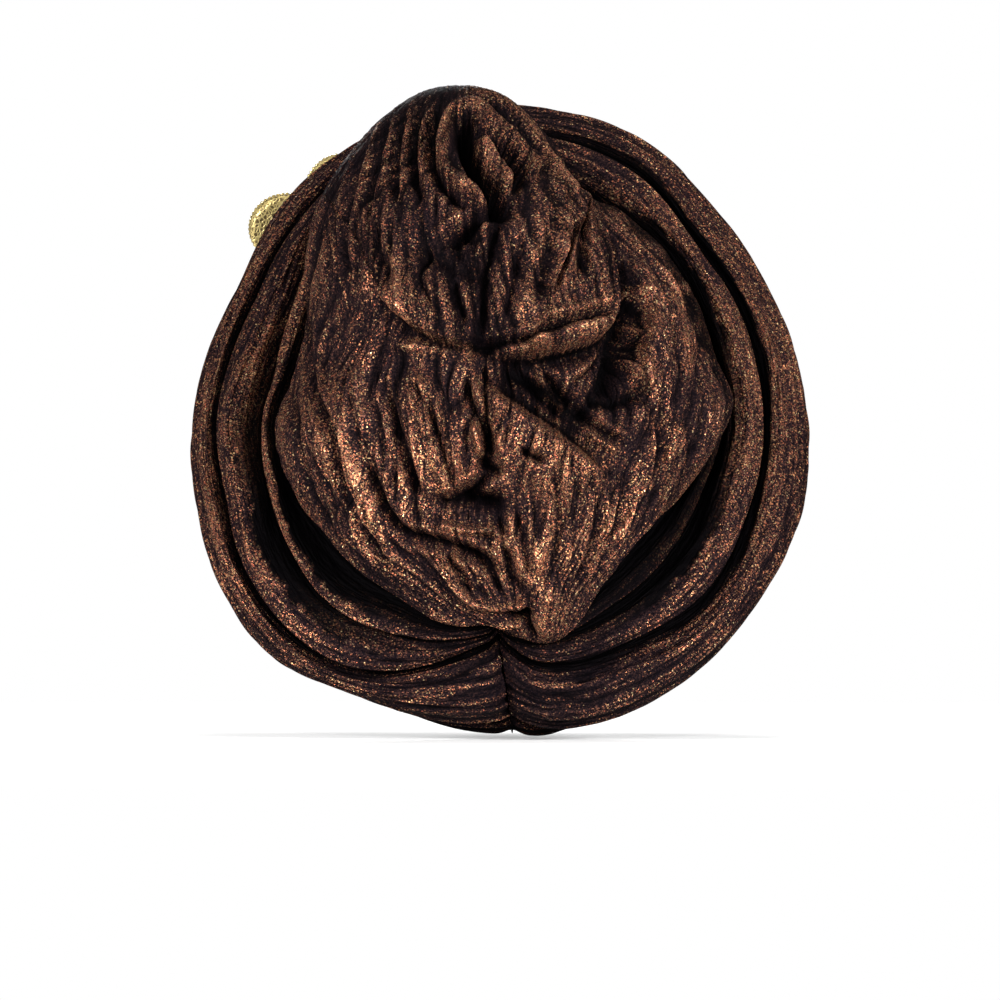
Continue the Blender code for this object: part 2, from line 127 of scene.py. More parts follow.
# Lines of the fan's sections as shares of its radius, round from the nape
SECTION_COLUMNS = ("angle", "outline", "groove", "middle", "inner_out", "inner_in")
SECTIONS = (
    (0, 0.94, 0.68, 0.67, 0.66, 0.65),
    (8, 0.96, 0.73, 0.71, 0.69, 0.67),
    (16, 0.97, 0.80, 0.75, 0.72, 0.69),
    (30, 0.99, 0.92, 0.79, 0.76, 0.71),
    (45, 1.04, 0.96, 0.83, 0.79, 0.75),
    (60, 1.03, 0.96, 0.83, 0.78, 0.75),
    (75, 1.01, 0.93, 0.81, 0.77, 0.74),
    (90, 1.00, 0.93, 0.83, 0.77, 0.75),
    (105, 0.98, 0.91, 0.80, 0.75, 0.72),
    (120, 0.97, 0.91, 0.80, 0.77, 0.74),
    (135, 1.01, 0.94, 0.87, 0.82, 0.79),
    (150, 1.03, 0.98, 0.89, 0.84, 0.80),
    (180, 1.04, 0.97, 0.87, 0.83, 0.79),
    (210, 1.03, 0.95, 0.80, 0.76, 0.73),
    (225, 0.99, 0.89, 0.79, 0.75, 0.71),
    (240, 0.98, 0.88, 0.76, 0.73, 0.69),
    (255, 0.99, 0.87, 0.75, 0.73, 0.69),
    (270, 1.00, 0.86, 0.75, 0.72, 0.69),
    (285, 1.01, 0.86, 0.73, 0.69, 0.66),
    (300, 1.01, 0.87, 0.73, 0.68, 0.65),
    (315, 1.01, 0.86, 0.72, 0.68, 0.64),
    (330, 1.01, 0.82, 0.72, 0.68, 0.65),
    (344, 1.00, 0.80, 0.73, 0.70, 0.67),
    (352, 0.98, 0.77, 0.72, 0.70, 0.68),
    (360, 0.94, 0.68, 0.67, 0.66, 0.65),
)
CROWN_OUTLINE = (
    (0, 0.65), (16, 0.66), (30, 0.64), (45, 0.65), (60, 0.66), (75, 0.70), (90, 0.72),
    (100, 0.69), (112, 0.69), (122, 0.73), (130, 0.81), (138, 0.90), (145, 0.96),
    (152, 1.01), (160, 1.07), (168, 1.11), (175, 1.10), (180, 1.07), (185, 1.01),
    (191, 0.92), (197, 0.82), (210, 0.79), (225, 0.77), (240, 0.74), (255, 0.73),
    (264, 0.75), (274, 0.71), (285, 0.64), (300, 0.59), (315, 0.58), (330, 0.62),
    (340, 0.69), (349, 0.71), (355, 0.68),
)

# Sewn edges: a line or an oval, and its depths at the nape, the sides and the top.
# All depths are shares of HALF_DEPTH, and an oval has its half width, bottom and top.
OUTER_TO_MIDDLE = ("sewn_outer", (-0.812, 0.078, 0.608))
MIDDLE_TO_INNER = ("sewn_middle", (-0.907, -0.022, 0.528))
INNER_TO_CROWN = ("sewn_inner", (-0.981, -0.111, 0.419))
OUTER_TO_FRONT = ((0.693, -0.739, 0.720), (-0.683, 0.330, 0.950))
FRONT_TO_BROW = ((0.673, -0.845, 0.356), (-0.603, 0.540, 1.055))
OUTER_SEWN_AT = 0.68
MIDDLE_SEWN_AT = 0.66
INNER_SEWN_AT = 0.64
CROWN_HEM = 0.007

# Rows of each pleat between its edges: a place between two lines, or an oval, and its
# depths as above
OUTER_PLEAT = (
    ("sewn_outer", "groove", 0.55, -0.815, 0.035, 0.580),
    ("sewn_outer", "groove", 0.90, -0.840, -0.030, 0.550),
    ("groove", "outline", 0.14, -0.880, -0.080, 0.540),
    ("groove", "outline", 0.42, -0.950, -0.070, 0.555),
    ("groove", "outline", 0.76, -0.930, -0.015, 0.620),
    ("groove", "outline", 1.00, -0.800, 0.110, 0.770),
    ("sewn_outer", "outline", 0.93, -0.710, 0.270, 0.930),
    ("sewn_outer", "outline", 0.80, -0.695, 0.350, 1.020),
    ("sewn_outer", "outline", 0.45, -0.700, 0.350, 1.010),
)
MIDDLE_PLEAT = (
    ("sewn_outer", "groove", 0.60, -0.880, -0.010, 0.540),
    ("middle", "groove", 0.90, -0.925, -0.110, 0.460),
    ("middle", "groove", 0.60, -0.960, -0.190, 0.380),
    ("middle", "groove", 0.08, -0.970, -0.185, 0.385),
    ("sewn_middle", "middle", 0.55, -0.940, -0.090, 0.460),
)
INNER_PLEAT = (
    ("sewn_middle", "inner_out", 0.60, -0.975, -0.120, 0.405),
    ("inner_in", "inner_out", 1.00, -0.998, -0.165, 0.350),
    ("inner_in", "inner_out", 0.00, -1.020, -0.205, 0.310),
    ("sewn_inner", "inner_in", 0.50, -1.000, -0.120, 0.360),
)
CROWN_EDGE = (-1.090, -0.305, 0.050)
CROWN_UNDERSIDE = (
    ("sewn_inner", "crown", 0.93, -1.070, -0.260, 0.130),
    ("sewn_inner", "crown", 0.60, -1.065, -0.250, 0.180),
    ("sewn_inner", "crown", 0.30, -1.050, -0.235, 0.240),
)
FRONT_PLEAT = (
    (0.818, -0.898, 0.790, -0.665, 0.410, 1.070),
    (0.898, -0.950, 0.830, -0.660, 0.460, 1.130),
    (0.914, -0.970, 0.795, -0.640, 0.540, 1.200),
    (0.878, -0.964, 0.647, -0.620, 0.600, 1.230),
    (0.792, -0.924, 0.488, -0.615, 0.590, 1.180),
)
BROW_BAND = (
    (0.739, -0.911, 0.409, -0.580, 0.600, 1.210),
    (0.752, -0.950, 0.370, -0.565, 0.640, 1.270),
    (0.726, -0.970, 0.224, -0.545, 0.620, 1.290),
    (0.673, -0.983, 0.066, -0.540, 0.520, 1.230),
    (0.607, -0.990, -0.066, -0.540, 0.380, 1.110),
    (0.548, -0.983, -0.158, -0.550, 0.220, 1.000),
)

# The crown's folds, seen from behind. Places are in steps of the photo, with x to
# the right and y down, width is in the same steps and height in millimetres.
# A crease is a sharp valley, a hollow a soft one, and a ridge a soft rib. A lip is
# the edge of a fold that lies over its neighbour, higher on the left of the way.
FOLDS = (
    # the knot: its dark eye, the tongue below it and the arches round both
    ("hollow", 15, 9, ((462, 124), (466, 145), (480, 172), (496, 197))),
    ("hollow", 14, 4, ((461, 121), (463, 134), (466, 150))),
    ("ridge", 9, 8, ((481, 152), (492, 172), (500, 186))),
    ("crease", 8, 4, ((463, 140), (468, 160), (478, 184), (492, 208))),
    ("crease", 8, 4, ((470, 122), (489, 141), (508, 165), (515, 186), (506, 206))),
    ("ridge", 9, 6, ((486, 205), (462, 188), (446, 166), (446, 136), (455, 112), (472, 108),
                     (491, 124), (511, 150), (523, 178))),
    ("crease", 7, 4, ((474, 214), (450, 196), (434, 170), (435, 130), (446, 103))),
    ("crease", 6, 4, ((462, 96), (490, 104), (516, 128), (533, 160), (538, 196))),
    ("ridge", 5, 6, ((470, 90), (504, 101), (530, 128), (545, 165), (549, 200))),
    ("crease", 6, 4, ((424, 92), (416, 130), (414, 172), (424, 212))),
    ("crease", 5, 4, ((408, 98), (400, 136), (396, 180), (402, 222))),
    ("crease", 5, 4, ((392, 112), (380, 150), (372, 196), (374, 240))),
    ("crease", 4, 4, ((366, 142), (353, 190), (344, 240), (346, 290))),
    ("crease", 5, 4, ((336, 190), (318, 250), (308, 310), (310, 372))),
    # the first tack and what runs out of it
    ("hollow", 12, 10, ((493, 205), (501, 209), (506, 213))),
    ("crease", 9, 5, ((500, 211), (478, 221), (456, 234), (438, 250))),
    ("hollow", 9, 8, ((470, 234), (461, 240), (456, 250))),
    ("hollow", 5, 10, ((424, 256), (446, 264), (474, 276))),
    ("crease", 8, 5, ((500, 210), (493, 240), (486, 275), (482, 312), (481, 346))),
    # the upper lobe: two bellies, its small creases and its edges
    ("ridge", 8, 30, ((398, 226), (402, 262), (426, 300))),
    ("ridge", 7, 30, ((540, 238), (552, 276), (546, 304))),
    ("crease", 5, 4, ((431, 246), (424, 280), (442, 318))),
    ("crease", 5, 4, ((456, 276), (458, 300), (470, 328))),
    ("crease", 5, 4, ((517, 238), (513, 280), (504, 325))),
    ("crease", 5, 4, ((536, 214), (537, 260), (529, 312))),
    ("crease", 5, 4, ((562, 214), (573, 255), (572, 302))),
    ("crease", 4, 4, ((550, 222), (556, 262), (550, 306))),
    ("crease", 4, 4, ((384, 214), (384, 250), (398, 284))),
    ("lip", 14, 26, ((380, 280), (392, 305), (416, 328), (439, 342), (484, 351))),
    ("ridge", 4, 6, ((404, 345), (431, 348), (474, 353))),
    ("lip", 18, 44, ((470, 354), (500, 359), (530, 358), (566, 352), (596, 342), (610, 322),
                     (612, 300), (606, 272), (596, 246), (577, 212), (558, 172), (552, 140))),
    ("crease", 8, 4, ((474, 347), (500, 344), (529, 340), (567, 329), (612, 318))),
    ("lip", 9, 14, ((566, 386), (586, 371), (601, 352), (611, 333))),
    # the dark hollow right of the lobe, and the right side beyond it
    ("hollow", 15, 11, ((617, 268), (625, 300), (626, 332), (618, 358), (610, 384))),
    ("hollow", 7, 9, ((596, 398), (618, 402), (636, 394))),
    ("lip", 8, 34, ((603, 243), (622, 283), (641, 304), (644, 330), (637, 354), (646, 386),
                    (660, 414))),
    ("ridge", 6, 3, ((620, 283), (629, 289), (640, 296))),
    ("ridge", 6, 4, ((619, 314), (629, 321), (640, 333))),
    ("ridge", 7, 4, ((620, 354), (632, 366), (645, 388))),
    ("crease", 4, 4, ((600, 205), (646, 246), (684, 304), (712, 372))),
    ("crease", 4, 4, ((642, 262), (668, 320), (684, 392))),
    ("crease", 4, 4, ((664, 262), (690, 316), (704, 380))),
    ("crease", 4, 4, ((650, 398), (662, 452), (646, 516))),
    ("crease", 4, 4, ((690, 410), (688, 460), (660, 520))),
    # the second tack, the creases below it and the ridge across the lower lobe
    ("hollow", 10, 10, ((474, 349), (481, 350), (488, 351))),
    ("crease", 8, 5, ((481, 352), (486, 400), (490, 462))),
    ("crease", 7, 4, ((462, 375), (474, 406), (489, 444), (495, 467))),
    ("lip", 12, 44, ((612, 484), (567, 439), (529, 412), (474, 376))),
    ("hollow", 8, 13, ((512, 374), (548, 392), (584, 420))),
    ("crease", 7, 4, ((545, 366), (556, 385), (575, 405))),
    ("crease", 6, 4, ((575, 400), (600, 430), (628, 446))),
    ("crease", 5, 4, ((520, 368), (540, 396), (572, 424))),
    # the lower lobe: bellies, the third tack and the drapes that run to the tail
    ("ridge", 6, 28, ((345, 396), (360, 450), (384, 500))),
    ("ridge", 8, 22, ((424, 392), (436, 438), (452, 472))),
    ("ridge", 10, 34, ((540, 456), (562, 502), (553, 556))),
    ("crease", 6, 4, ((310, 345), (317, 387), (340, 448), (352, 500))),
    ("crease", 6, 4, ((327, 394), (342, 440), (348, 478), (386, 562), (399, 584))),
    ("crease", 8, 5, ((361, 433), (378, 482), (405, 532), (443, 543), (489, 562), (520, 601))),
    ("crease", 6, 4, ((413, 372), (428, 406), (443, 448), (458, 494))),
    ("crease", 6, 4, ((384, 372), (396, 420), (412, 470), (430, 510))),
    ("crease", 5, 5, ((290, 372), (296, 430), (312, 490), (340, 545))),
    ("hollow", 8, 4, ((524, 452), (531, 456), (537, 459))),
    ("hollow", 12, 9, ((468, 498), (482, 500), (496, 503))),
    ("hollow", 8, 7, ((484, 462), (491, 467), (497, 470))),
    ("crease", 7, 5, ((491, 468), (474, 488), (452, 500), (430, 503))),
    ("ridge", 6, 5, ((446, 524), (470, 530), (496, 531), (506, 546))),
    ("crease", 6, 5, ((497, 500), (503, 540), (514, 576), (530, 602))),
    ("ridge", 7, 5, ((450, 566), (474, 602), (498, 606), (520, 603))),
    ("crease", 6, 4, ((444, 548), (460, 578), (472, 598))),
    ("crease", 5, 4, ((470, 546), (488, 572), (504, 596))),
    ("crease", 4, 4, ((516, 506), (522, 542), (530, 584))),
    ("crease", 4, 4, ((548, 474), (552, 520), (548, 572))),
    ("crease", 5, 4, ((600, 486), (590, 536), (566, 590))),
    ("crease", 4, 4, ((628, 462), (616, 520), (584, 586))),
    # the tail, the dark slit beside it and the hem below the slit
    ("hollow", 13, 4, ((510, 616), (518, 617), (526, 613))),
    ("crease", 8, 4, ((527, 606), (530, 624), (540, 640))),
    ("ridge", 9, 16, ((547, 598), (549, 616), (551, 630))),
    ("ridge", 5, 4, ((434, 616), (456, 622), (480, 628), (504, 627), (520, 621))),
)
FOLD_SAMPLES = 33

# Where the cloth's crinkles run on the crown: they follow its sides from the knot
# down to the tail, as (y, left side, right side) in steps of the photo
CROWN_SIDES = (
    (60, 430, 480), (100, 396, 520), (140, 356, 560), (200, 318, 604), (300, 300, 690),
    (400, 272, 733), (450, 270, 728), (500, 290, 705), (550, 322, 665), (600, 400, 610),
    (660, 500, 570),
)
LOBE_SIDES = (
    (60, 410, 500), (140, 356, 550), (200, 322, 578), (250, 312, 600), (320, 306, 614),
    (360, 306, 614), (700, 306, 614),
)

# The lower edge of the upper lobe, as (x, y)
LOBE_FOOT = (
    (270, 140), (320, 190), (360, 240), (383, 288), (392, 304), (416, 327), (439, 341),
    (480, 348), (529, 341), (567, 330), (602, 325), (640, 322),
)

# Where the grooves' painted shade is widest: middle angles and reaches, in degrees
UPPER_RIGHT = ((232, 40),)
LOWER_LEFT = ((60, 38),)
LOWER_RIGHT = ((308, 30),)

# Mesh fineness: cells across and along each piece
CROWN_CELLS = 292
CROWN_HEM_ROWS = 9
OUTER_CELLS = (128, 740)
MIDDLE_CELLS = (84, 640)
INNER_CELLS = (50, 600)
FRONT_CELLS = (88, 620)
BROW_CELLS = (70, 560)


def smooth(part):
    """Eases a share from 0 to 1 at both its ends."""
    return part**2 * (3 - 2 * part)


def running(steps):
    """The length so far along a line of steps, from 0."""
    return np.concatenate([[0], np.cumsum(steps)])


def polar(radius, turn, height):
    """Points at a radius and a turn in radians, as (x, y, height)."""
    x = radius * np.cos(turn)
    y = radius * np.sin(turn)
    return np.stack([x, y, height + 0 * x], axis=-1)


def unit(vectors):
    return vectors / np.maximum(np.linalg.norm(vectors, axis=-1, keepdims=True), 1e-12)


def hermite(knots, values, at):
    """A smooth curve through the values, read at any place along the knots."""
    slopes = np.gradient(values, knots, axis=0)
    i = np.clip(np.searchsorted(knots, at, side="right") - 1, 0, len(knots) - 2)
    span = knots[i + 1] - knots[i]
    t = (at - knots[i]) / span
    if np.ndim(values) > 1:
        span, t = span[:, None], t[:, None]
    start = values[i] * (1 + 2 * t) * (1 - t) ** 2 + slopes[i] * span * t * (1 - t) ** 2
    end = values[i + 1] * t**2 * (3 - 2 * t) + slopes[i + 1] * span * t**2 * (t - 1)
    return start + end


def section_line(name, angle):
    """One line of the fan's sections, in metres from the fan's middle."""
    table = np.array(SECTIONS, float)
    column = SECTION_COLUMNS.index(name)
    return FAN_RADIUS * hermite(table[:, 0], table[:, column], angle)


def crown_line(angle):
    """The crown's outline, in metres from the fan's middle."""
    table = np.array(CROWN_OUTLINE, float)
    knots = np.concatenate([table[:, 0] - 360, table[:, 0], table[:, 0] + 360])
    return FAN_RADIUS * hermite(knots, np.tile(table[:, 1], 3), angle % 360)


def lines_at(angle):
    """Every named line of the section at each angle."""
    lines = {name: section_line(name, angle) for name in SECTION_COLUMNS[1:]}
    lines["crown"] = crown_line(angle)
    lines["sewn_outer"] = OUTER_SEWN_AT * lines["outline"]
    lines["sewn_middle"] = MIDDLE_SEWN_AT * lines["outline"]
    lines["sewn_inner"] = np.minimum(
        INNER_SEWN_AT * lines["outline"], lines["crown"] - CROWN_HEM
    )
    return lines


def depth_at(angle, nape, side, top):
    """Depth of a line that is given at the nape, the sides and the top."""
    turn = np.radians(angle)
    middle = (nape + top) / 2
    lean = (top - nape) / 2
    bow = (middle - side) / 2
    return HALF_DEPTH * ((middle + side) / 2 - lean * np.cos(turn) + bow * np.cos(2 * turn))


def round_fan(angle, radius, depth):
    """Points at a distance from the fan's middle, as a row of (x, y, z)."""
    turn = np.radians(angle)
    x = -radius * np.sin(turn)
    z = FAN_CENTRE_Z - radius * np.cos(turn)
    return np.stack([x, depth, z], axis=-1)


def oval(angle, half_width, bottom, top, depth):
    """Points on an oval shaped like the fan's outline."""
    turn = np.radians(angle)
    outline = section_line("outline", angle)
    middle = FAN_RADIUS * (bottom + top) / 2
    x = -half_width * outline * np.sin(turn)
    z = FAN_CENTRE_Z + middle - (top - bottom) / 2 * outline * np.cos(turn)
    return np.stack([x, depth, z], axis=-1)


def rows_at(angle, table):
    """Rows of a pleat: each lies part of the way between two lines, or else on an oval."""
    lines = lines_at(angle)
    rows = []
    for first, second, third, *depths in table:
        depth = depth_at(angle, *depths)
        if isinstance(first, str):
            radius = lines[first] + third * (lines[second] - lines[first])
            rows.append(round_fan(angle, radius, depth))
        else:
            rows.append(oval(angle, first, second, third, depth))
    return rows


def sewn_rows(angle, edge, side, ahead):
    """A sewn edge and the hidden hem beyond it.

    side is 1 in front of its neighbour and -1 behind it, and ahead says how much
    farther to the front the hem lies.
    """
    shape, depths = edge
    depth = depth_at(angle, *depths) + side * SEWN / 2
    if isinstance(shape, str):
        row = round_fan(angle, lines_at(angle)[shape], depth)
    else:
        row = oval(angle, *shape, depth)
    away = row - np.array([0, 0, FAN_CENTRE_Z])
    away[..., 1] = 0
    return [row, row - HEM * unit(away) + np.array([0, ahead, 0])]


def noise(u, v, seed):
    """Smooth noise between about -1 and 1, on a lattice one unit wide."""
    turns = np.random.default_rng(seed).uniform(0, 2 * math.pi, (LATTICE, LATTICE))
    iu = np.floor(u).astype(int)
    iv = np.floor(v).astype(int)
    fu = u - iu
    fv = v - iv

    def corner(du, dv):
        turn = turns[(iu + du) % LATTICE, (iv + dv) % LATTICE]
        return np.cos(turn) * (fu - du) + np.sin(turn) * (fv - dv)

    su = fu**3 * (fu * (fu * 6 - 15) + 10)
    sv = fv**3 * (fv * (fv * 6 - 15) + 10)
    low = corner(0, 0) + su * (corner(1, 0) - corner(0, 0))
    high = corner(0, 1) + su * (corner(1, 1) - corner(0, 1))
    return 1.5 * (low + sv * (high - low))


def crinkle(across, along, seed):
    """A crinkle's height: rounded ribs near 1 with sharp valleys at 0 between them."""
    across = across + 0.35 * noise(across * 0.31, along * 0.57, seed + 1)
    along = along + 0.5 * noise(across * 0.53, along * 0.29, seed + 2)

    def waves(u):
        return noise(u, along, seed) + 0.7 * noise(1.37 * u + 7.4, 1.21 * along + 3.6, seed + 3)

    # ribs lean to one side, so that one flank is steep
    lean = np.abs(waves(across))
    return np.minimum(np.abs(waves(across + 0.30 * lean)), 1.2) ** 0.7


def all_ribs(across, along, seed, sizes):
    """The heights of the broad, fine and small ribs."""
    return [crinkle(across / width, along / length, seed + n) for width, length, n in sizes]


def valley_shade(rib):
    """Painted shade between the ribs: 1 on a crest, less in a valley."""
    part = np.clip((rib - 0.15) / 0.6, 0, 1)
    return 0.06 + 0.94 * part**2 * (3 - 2 * part)


def normals_of(points):
    """The unit normal at each point of a grid of points."""
    return unit(np.cross(np.gradient(points, axis=1), np.gradient(points, axis=0)))


def add_mesh(name, points, faces, uv, **heights):
    """A mesh object with a cloth map in metres and a named number at each point."""
    mesh = bpy.data.meshes.new(name)
    mesh.vertices.add(len(points))
    mesh.vertices.foreach_set("co", np.asarray(points, np.float32).ravel())
    mesh.loops.add(faces.size)
    mesh.loops.foreach_set("vertex_index", faces.ravel().astype(np.int32))
    mesh.polygons.add(len(faces))
    starts = np.arange(0, faces.size, faces.shape[1], dtype=np.int32)
    mesh.polygons.foreach_set("loop_start", starts)
    mesh.update(calc_edges=True)
    layer = mesh.uv_layers.new(name="cloth")
    layer.data.foreach_set("uv", np.asarray(uv, np.float32)[faces.ravel()].ravel())
    for key, values in heights.items():
        height = mesh.attributes.new(key, "FLOAT", "POINT")
        height.data.foreach_set("value", np.asarray(values, np.float32).ravel())
    mesh.shade_smooth()
    mesh.validate()
    made = bpy.data.objects.new(name, mesh)
    bpy.context.scene.collection.objects.link(made)
    return made


def indices(*shape):
    """The numbers of a grid's points."""
    return np.arange(np.prod(shape)).reshape(shape)


def grid_faces(index, flip=False):
    """Faces between the neighbouring rows and columns of a grid of points."""
    corners = [index[:-1, :-1], index[:-1, 1:], index[1:, 1:], index[1:, :-1]]
    if flip:
        corners[1:] = corners[:0:-1]
    return np.stack(corners, axis=-1).reshape(-1, 4)


def ring_faces(index):
    """Faces of a grid whose last column meets its first."""
    return grid_faces(np.concatenate([index, index[:, :1]], axis=1), flip=True)


def seam_stations(count):
    """Angles round the fan, closer together by the nape, and the hem beyond each end."""
    t = np.linspace(0, 1, count + 1 - 2 * HEM_STATIONS)
    angle = 360 * (t - 0.72 * np.sin(2 * math.pi * t) / (2 * math.pi))
    tuck = np.arange(1, HEM_STATIONS + 1) / HEM_STATIONS
    angle = np.concatenate([0 * tuck, angle, 0 * tuck + 360])
    tucked = np.concatenate([tuck[::-1], 0 * t, tuck])
    return angle, tucked


def smooth_rows(rows, count):
    """Many rows on a smooth surface through a few, and how far across each row lies."""
    rows = np.array(rows)
    knots = running(np.linalg.norm(np.diff(rows, axis=0), axis=-1).mean(axis=1))
    at = np.linspace(0, knots[-1], count + 1)
    flat = hermite(knots, rows.reshape(len(rows), -1), at)
    return flat.reshape(count + 1, *rows.shape[1:]), at, knots


def draw_to_seam(points, angle, tucked, dip):
    """Pulls a pleat's ends into the slanted seam at the nape, and tucks them in."""
    from_seam = np.minimum(angle, 360 - angle)
    which = np.where(angle < 180, -1.0, 1.0)
    at_lip, in_dip, on_slant = (np.exp(-((from_seam / reach) ** 2)) for reach in SEAM_REACHES)
    points[..., 1] += dip * in_dip + 0.6 * dip * at_lip
    points[..., 2] += SEAM_LIP * at_lip
    points[..., 0] += which * SEAM_GAP * (1 - tucked)
    down = FAN_CENTRE_Z - SEAM_TOP - points[..., 2]
    points[..., 0] += SEAM_SLANT * down * on_slant
    points[..., 1] += TUCK_DEPTH * tucked
    points[..., 2] += TUCK_RISE * tucked
    return points


def petal_part(turn):
    """1 along the middle of a petal and 0 between two petals."""
    return np.abs(np.cos(BROOCH_PETALS / 2 * (turn - math.pi / BROOCH_PETALS)))


def petal_reach(turn):
    """How far the brooch's edge lies from its middle, in a direction in radians."""
    return BROOCH_RADIUS * (0.62 + 0.38 * petal_part(turn) ** 0.7)


def petal_height(share, turn):
    """The top of the petals: cupped, with a raised edge and a vein along each petal."""
    part = petal_part(turn)
    period = 2 * math.pi / BROOCH_PETALS
    aside = (turn + period / 2) % period - period / 2
    vein = np.exp(-((aside / 0.10) ** 2)) * np.clip(4 * share * (1 - share), 0, 1)
    cup = 0.0040 * part * share * (1.7 - share) + 0.0016 * share**6 * part**0.5
    return 0.0002 + cup - 0.0012 * vein


def on_petals(share, turn, above=0):
    """Places on the petals' top, at a share of their reach."""
    return polar(share * petal_reach(turn), turn, petal_height(share, turn) + above)


def brooch_frame():
    """The brooch's middle and its axes, of which the last points away from the cloth."""
    turn = math.radians(BROOCH_ANGLE)
    tilt = math.radians(BROOCH_TILT)
    outward = np.array((-math.sin(turn), 0, -math.cos(turn)))
    ahead = np.array((0, 1, 0))
    normal = ahead * math.cos(tilt) + outward * math.sin(tilt)
    radial = outward * math.cos(tilt) - ahead * math.sin(tilt)
    sideways = np.cross(normal, radial)
    rows = rows_at(np.array([BROOCH_ANGLE]), FRONT_PLEAT)
    middle = (rows[BROOCH_ROWS[0]][0] + rows[BROOCH_ROWS[1]][0]) / 2
    # it lies on the highest point of the front pleat that its petals cover
    cloth = np.array(rows_at(np.linspace(0, 360, 721), FRONT_PLEAT))
    part = np.linspace(0, 1, 11)[:, None, None, None]
    cloth = cloth[:-1] + part * (cloth[1:] - cloth[:-1]) - middle
    along, across = cloth @ radial, cloth @ sideways
    covered = np.hypot(along, across) < petal_reach(np.arctan2(across, along))
    seat = (cloth @ normal)[covered].max() + BROOCH_ABOVE + BROOCH_THICKNESS / 2
    return middle + normal * seat, np.stack([radial, sideways, normal])


def brooch_mesh(name, local, faces):
    """A mesh that is given in the brooch's own frame."""
    local = local.reshape(-1, 3)
    place, axes = brooch_frame()
    return add_mesh(name, place + local @ axes, faces, local[:, :2])


def petal_plate():
    """The petals: their cupped top, their edge and their flat underside."""
    turn = np.linspace(0, 2 * math.pi, 300, endpoint=False)
    rows = [on_petals(share, turn) for share in np.linspace(0.02, 1, 30)]
    for share in (1.0, 0.96, 0.6, 0.02):
        low = -BROOCH_THICKNESS / 2 + 0.0003 * (share == 1.0)
        rows.append(polar(share * petal_reach(turn), turn, low))
    return brooch_mesh("petal_plate", np.array(rows), ring_faces(indices(len(rows), len(turn))))


def bead_row(share, size, spacing):
    """Beads along the petals' edge, drawn in to a share of its reach."""
    turn = np.linspace(0, 2 * math.pi, 4001)
    x, y, _ = on_petals(share, turn).T
    length = running(np.hypot(np.diff(x), np.diff(y)))
    count = round(length[-1] / spacing)
    at = np.interp(np.arange(count) / count * length[-1], length, turn)
    return on_petals(share, at, 0.5 * size), np.full(count, size)


def bead_veins():
    """Beads along the veins of each petal."""
    centres = []
    for petal in range(BROOCH_PETALS):
        for lean, low, high in ((0, 0.30, 0.92), (-0.26, 0.42, 0.80), (0.26, 0.42, 0.80)):
            share = np.arange(low, high, 0.0017 / BROOCH_RADIUS)
            turn = 2 * math.pi * (petal + 0.5) / BROOCH_PETALS + lean * (share - 0.3) * 1.6
            centres.append(on_petals(share, turn + 2 * math.pi / BROOCH_PETALS / 2, 0.0005))
    centres = np.concatenate(centres)
    return centres, np.full(len(centres), 0.0008)


def dome_place(rise, inset):
    """How far out and how high a place below the brooch's dome lies, by its slope in radians."""
    out = (BROOCH_CENTRE_RADIUS - inset) * np.cos(rise)
    return out, BROOCH_THICKNESS / 2 + (BROOCH_CENTRE_HEIGHT - inset) * np.sin(rise)


def dome_bead_rows():
    """Rings of beads from the dome's foot to its top."""
    rows = []
    for i, slope in enumerate(np.linspace(0.10, 1.57, 8)):
        out, up = dome_place(slope, DOME_BEAD)
        count = max(1, round(2 * math.pi * out / 0.0023))
        turn = (np.arange(count) + 0.5 * (i % 2)) * 2 * math.pi / count
        rows.append((polar(out, turn, up), np.full(count, DOME_BEAD)))
    return rows


def bead_mesh(name, rows):
    """Beads from rows of their middles and sizes."""
    centres, sizes = (np.concatenate([row[i] for row in rows]) for i in range(2))
    ball = bmesh.new()
    bmesh.ops.create_icosphere(ball, subdivisions=2, radius=1)
    ball.verts.index_update()
    round_one = np.array([vert.co[:] for vert in ball.verts])
    corners = np.array([[vert.index for vert in face.verts] for face in ball.faces])
    ball.free()
    local = centres[:, None] + round_one[None] * sizes[:, None, None]
    faces = corners[None] + len(round_one) * np.arange(len(centres))[:, None, None]
    return brooch_mesh(name, local, faces.reshape(-1, 3))


def build_brooch():
    """Cupped petals edged and veined with beads, round a dome covered in beads."""
    plate = petal_plate()
    petal_beads = bead_mesh("petal_beads", [
        bead_row(0.98, 0.00110, 0.0022),
        bead_row(0.86, 0.00070, 0.0017),
        bead_row(0.70, 0.00060, 0.0026),
        bead_row(0.54, 0.00060, 0.0026),
        bead_veins(),
    ])
    turn = np.linspace(0, 2 * math.pi, 48, endpoint=False)
    out, up = dome_place(np.linspace(math.pi / 2 - 0.02, 0, 14), 0.0012)
    out = np.concatenate([out, [0.005, 0.0002]])
    up = np.concatenate([up, [up[-1], up[-1]]])
    faces = ring_faces(indices(len(out), len(turn)))
    dome = brooch_mesh("brooch_dome", polar(out[:, None], turn, up[:, None]), faces)
    return plate, petal_beads, dome, bead_mesh("dome_beads", dome_bead_rows())


def wide_shade_part(angle, places):
    """1 where the grooves' painted shade is widest and 0 away from there."""
    return sum(np.exp(-(((angle - middle) / reach) ** 4)) for middle, reach in places)


def outward_normals(points, angle):
    """Each point's normal, which leads away from the head where the pleat is widest."""
    normal = normals_of(points)
    outward = round_fan(angle, 1, 0 * angle) - (0, 0, FAN_CENTRE_Z)
    radius = np.einsum("rsk,sk->rs", points - (0, 0, FAN_CENTRE_Z), outward)
    widest = radius.mean(axis=1).argmax()
    inside_out = np.einsum("sk,sk->s", normal[widest], outward).mean() < 0
    return -normal if inside_out else normal


